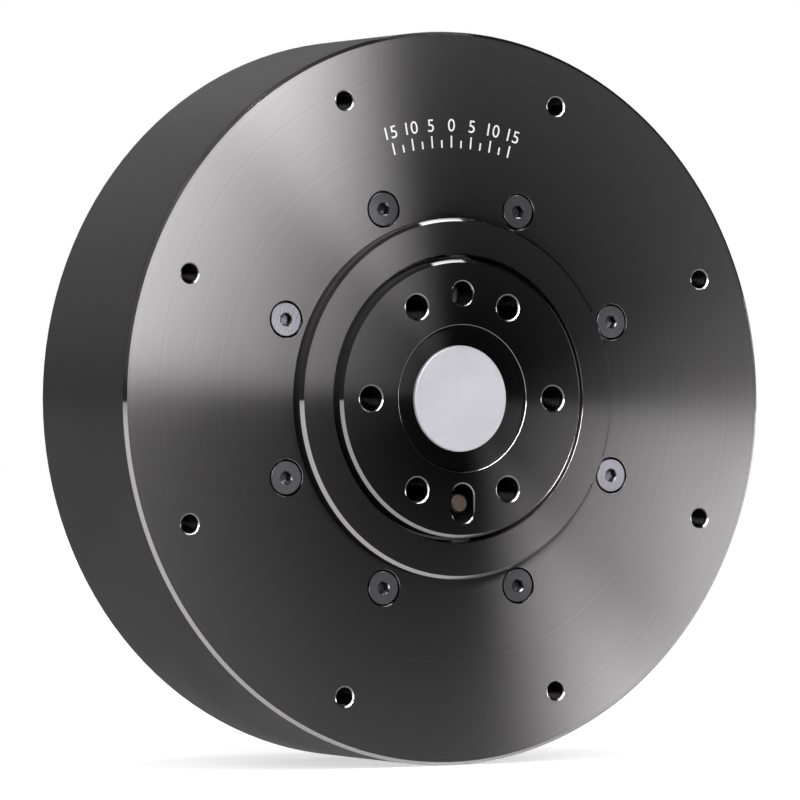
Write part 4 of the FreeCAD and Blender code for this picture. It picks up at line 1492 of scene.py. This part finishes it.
class ACTUATOR_OT_stage(bpy.types.Operator):
    """The floor, the lights, the pale surroundings and the camera"""

    bl_idname = "actuator.stage"
    bl_label = "Stage"

    def execute(self, context):
        self.camera(context)
        self.room(context)
        self.floor(context)
        self.lamps(context)
        context.scene.view_settings.view_transform = "Standard"
        return {"FINISHED"}

    def camera(self, context):
        data = bpy.data.cameras.new("camera")
        data.lens = CAMERA_LENS
        data.sensor_width = CAMERA_SENSOR
        data.clip_start = 0.01
        camera = bpy.data.objects.new("camera", data)
        ahead = Vector((math.sin(CAMERA_TURN), math.cos(CAMERA_TURN), 0))
        right = Vector((math.cos(CAMERA_TURN), -math.sin(CAMERA_TURN), 0))
        camera.location = right * CAMERA_ASIDE - ahead * CAMERA_DISTANCE + Vector((0, 0, CAMERA_HEIGHT))
        camera.rotation_euler = ahead.to_track_quat("-Z", "Y").to_euler()
        context.scene.collection.objects.link(camera)
        context.scene.camera = camera

    def room(self, context):
        """White surroundings for the camera, and a dimmer room on its side for reflections."""
        world = bpy.data.worlds.new("room")
        context.scene.world = world
        world.use_nodes = True
        nodes = Nodes(world.node_tree)
        background = world.node_tree.nodes["Background"]
        path = nodes.add("ShaderNodeLightPath").outputs
        split = nodes.add("ShaderNodeSeparateXYZ")
        nodes.link(nodes.add("ShaderNodeTexCoord").outputs["Generated"], split.inputs[0])
        seen = nodes.spread(split.outputs["Y"], context.scene.actuator_studio.room, 1.0, 0.6, 0.85)
        shiny = nodes.math("MAXIMUM", path["Is Glossy Ray"], path["Is Transmission Ray"])
        strength = nodes.math("MULTIPLY", shiny, seen)
        strength = nodes.math("MAXIMUM", strength, path["Is Camera Ray"])
        lit = nodes.math("SUBTRACT", 1.0, nodes.math("MAXIMUM", shiny, path["Is Camera Ray"]))
        nodes.feed_all(background, {
            "Strength": nodes.math("MULTIPLY_ADD", lit, ROOM_LIGHT, strength),
            "Color": (1.0, 1.0, 1.0, 1.0),
        })

    def floor(self, context):
        """A plain pale floor, which also shines a little by itself."""
        form = Form()
        z = CAD_LOW.z - FLOOR_GAP
        sides = ((-1, -1), (1, -1), (1, 1), (-1, 1))
        corners = [Vector((x * FLOOR_REACH, y * FLOOR_REACH, z)) for x, y in sides]
        form.mesh.faces.new(form.loop(corners))
        data = bpy.data.meshes.new("floor")
        form.mesh.to_mesh(data)
        form.mesh.free()
        floor = bpy.data.objects.new("floor", data)
        context.scene.collection.objects.link(floor)
        material, nodes, shader = new_finish("pale floor")
        glow = context.scene.actuator_studio.floor
        path = nodes.add("ShaderNodeLightPath").outputs
        seen = nodes.math("MULTIPLY", path["Is Camera Ray"], FLOOR_SHINE)
        nodes.feed_all(shader, {
            "Base Color": (0.86, 0.86, 0.86, 1.0),
            "Roughness": 0.8,
            "Emission Color": (1.0, 1.0, 1.0, 1.0),
            "Emission Strength": nodes.math("MULTIPLY_ADD", path["Is Glossy Ray"], glow, seen),
        })
        floor.data.materials.append(material)

    def lamps(self, context):
        """The softboxes for shiny surfaces, and the fill lamps for everything else."""
        studio = context.scene.actuator_studio
        for name, left, raised, width, height, rolled in SOFTBOXES:
            left, raised = math.radians(left), math.radians(raised)
            level = math.cos(raised)
            at = Vector((-math.sin(left) * level, -math.cos(left) * level, math.sin(raised)))
            power = getattr(studio, name) * math.pi * width * height
            softbox = self.lamp(context, name, at, width, height, power, rolled)
            softbox.visible_diffuse = False
        for name, at, size in FILLS:
            lamp = self.lamp(context, name, Vector(at), size, size, studio.fill)
            lamp.visible_glossy = False

    def lamp(self, context, name, at, width, height, power, rolled=0.0):
        """A flat lamp that faces the middle."""
        data = bpy.data.lights.new(name, "AREA")
        data.shape = "RECTANGLE"
        data.size = width
        data.size_y = height
        data.energy = power
        lamp = bpy.data.objects.new(name, data)
        lamp.location = at
        facing = at.to_track_quat("Z", "Y").to_matrix()
        lamp.rotation_euler = (facing @ Matrix.Rotation(math.radians(rolled), 3, "Z")).to_euler()
        lamp.visible_camera = False
        context.scene.collection.objects.link(lamp)
        return lamp


class ACTUATOR_PT_panel(bpy.types.Panel):
    """Lists the sizes, the colours and the pieces"""

    bl_idname = "ACTUATOR_PT_panel"
    bl_label = "Robot joint actuator"
    bl_space_type = "VIEW_3D"
    bl_region_type = "UI"
    bl_category = "Actuator"

    def draw(self, context):
        layout = self.layout
        for group in GROUPS:
            box = layout.box()
            looks = getattr(context.scene, group)
            for name in type(looks).__annotations__:
                box.prop(looks, name)
        for operator in OPERATORS:
            layout.operator(operator.bl_idname)


GROUPS = {
    "actuator_metal": MetalLooks,
    "actuator_plastic": PlasticLooks,
    "actuator_marks": ScaleMarks,
    "actuator_studio": Studio,
}
OPERATORS = (
    ACTUATOR_OT_stage,
    ACTUATOR_OT_inner_pieces,
    ACTUATOR_OT_housing,
    ACTUATOR_OT_clamp_screws,
    ACTUATOR_OT_flange,
    ACTUATOR_OT_pin_tip,
    ACTUATOR_OT_cap,
    ACTUATOR_OT_cover,
    ACTUATOR_OT_rear_screws,
    ACTUATOR_OT_sockets,
    ACTUATOR_OT_scale,
)


def register():
    for group in GROUPS.values():
        bpy.utils.register_class(group)
    for name, group in GROUPS.items():
        setattr(bpy.types.Scene, name, PointerProperty(type=group))
    for kind in OPERATORS + (ACTUATOR_PT_panel,):
        bpy.utils.register_class(kind)


def unregister():
    for kind in reversed(OPERATORS + (ACTUATOR_PT_panel,)):
        bpy.utils.unregister_class(kind)
    for name in GROUPS:
        delattr(bpy.types.Scene, name)
    for group in reversed(list(GROUPS.values())):
        bpy.utils.unregister_class(group)


def main():
    register()
    for operator in OPERATORS:
        family, name = operator.bl_idname.split(".")
        getattr(getattr(bpy.ops, family), name)()


if __name__ == "__main__":
    main()
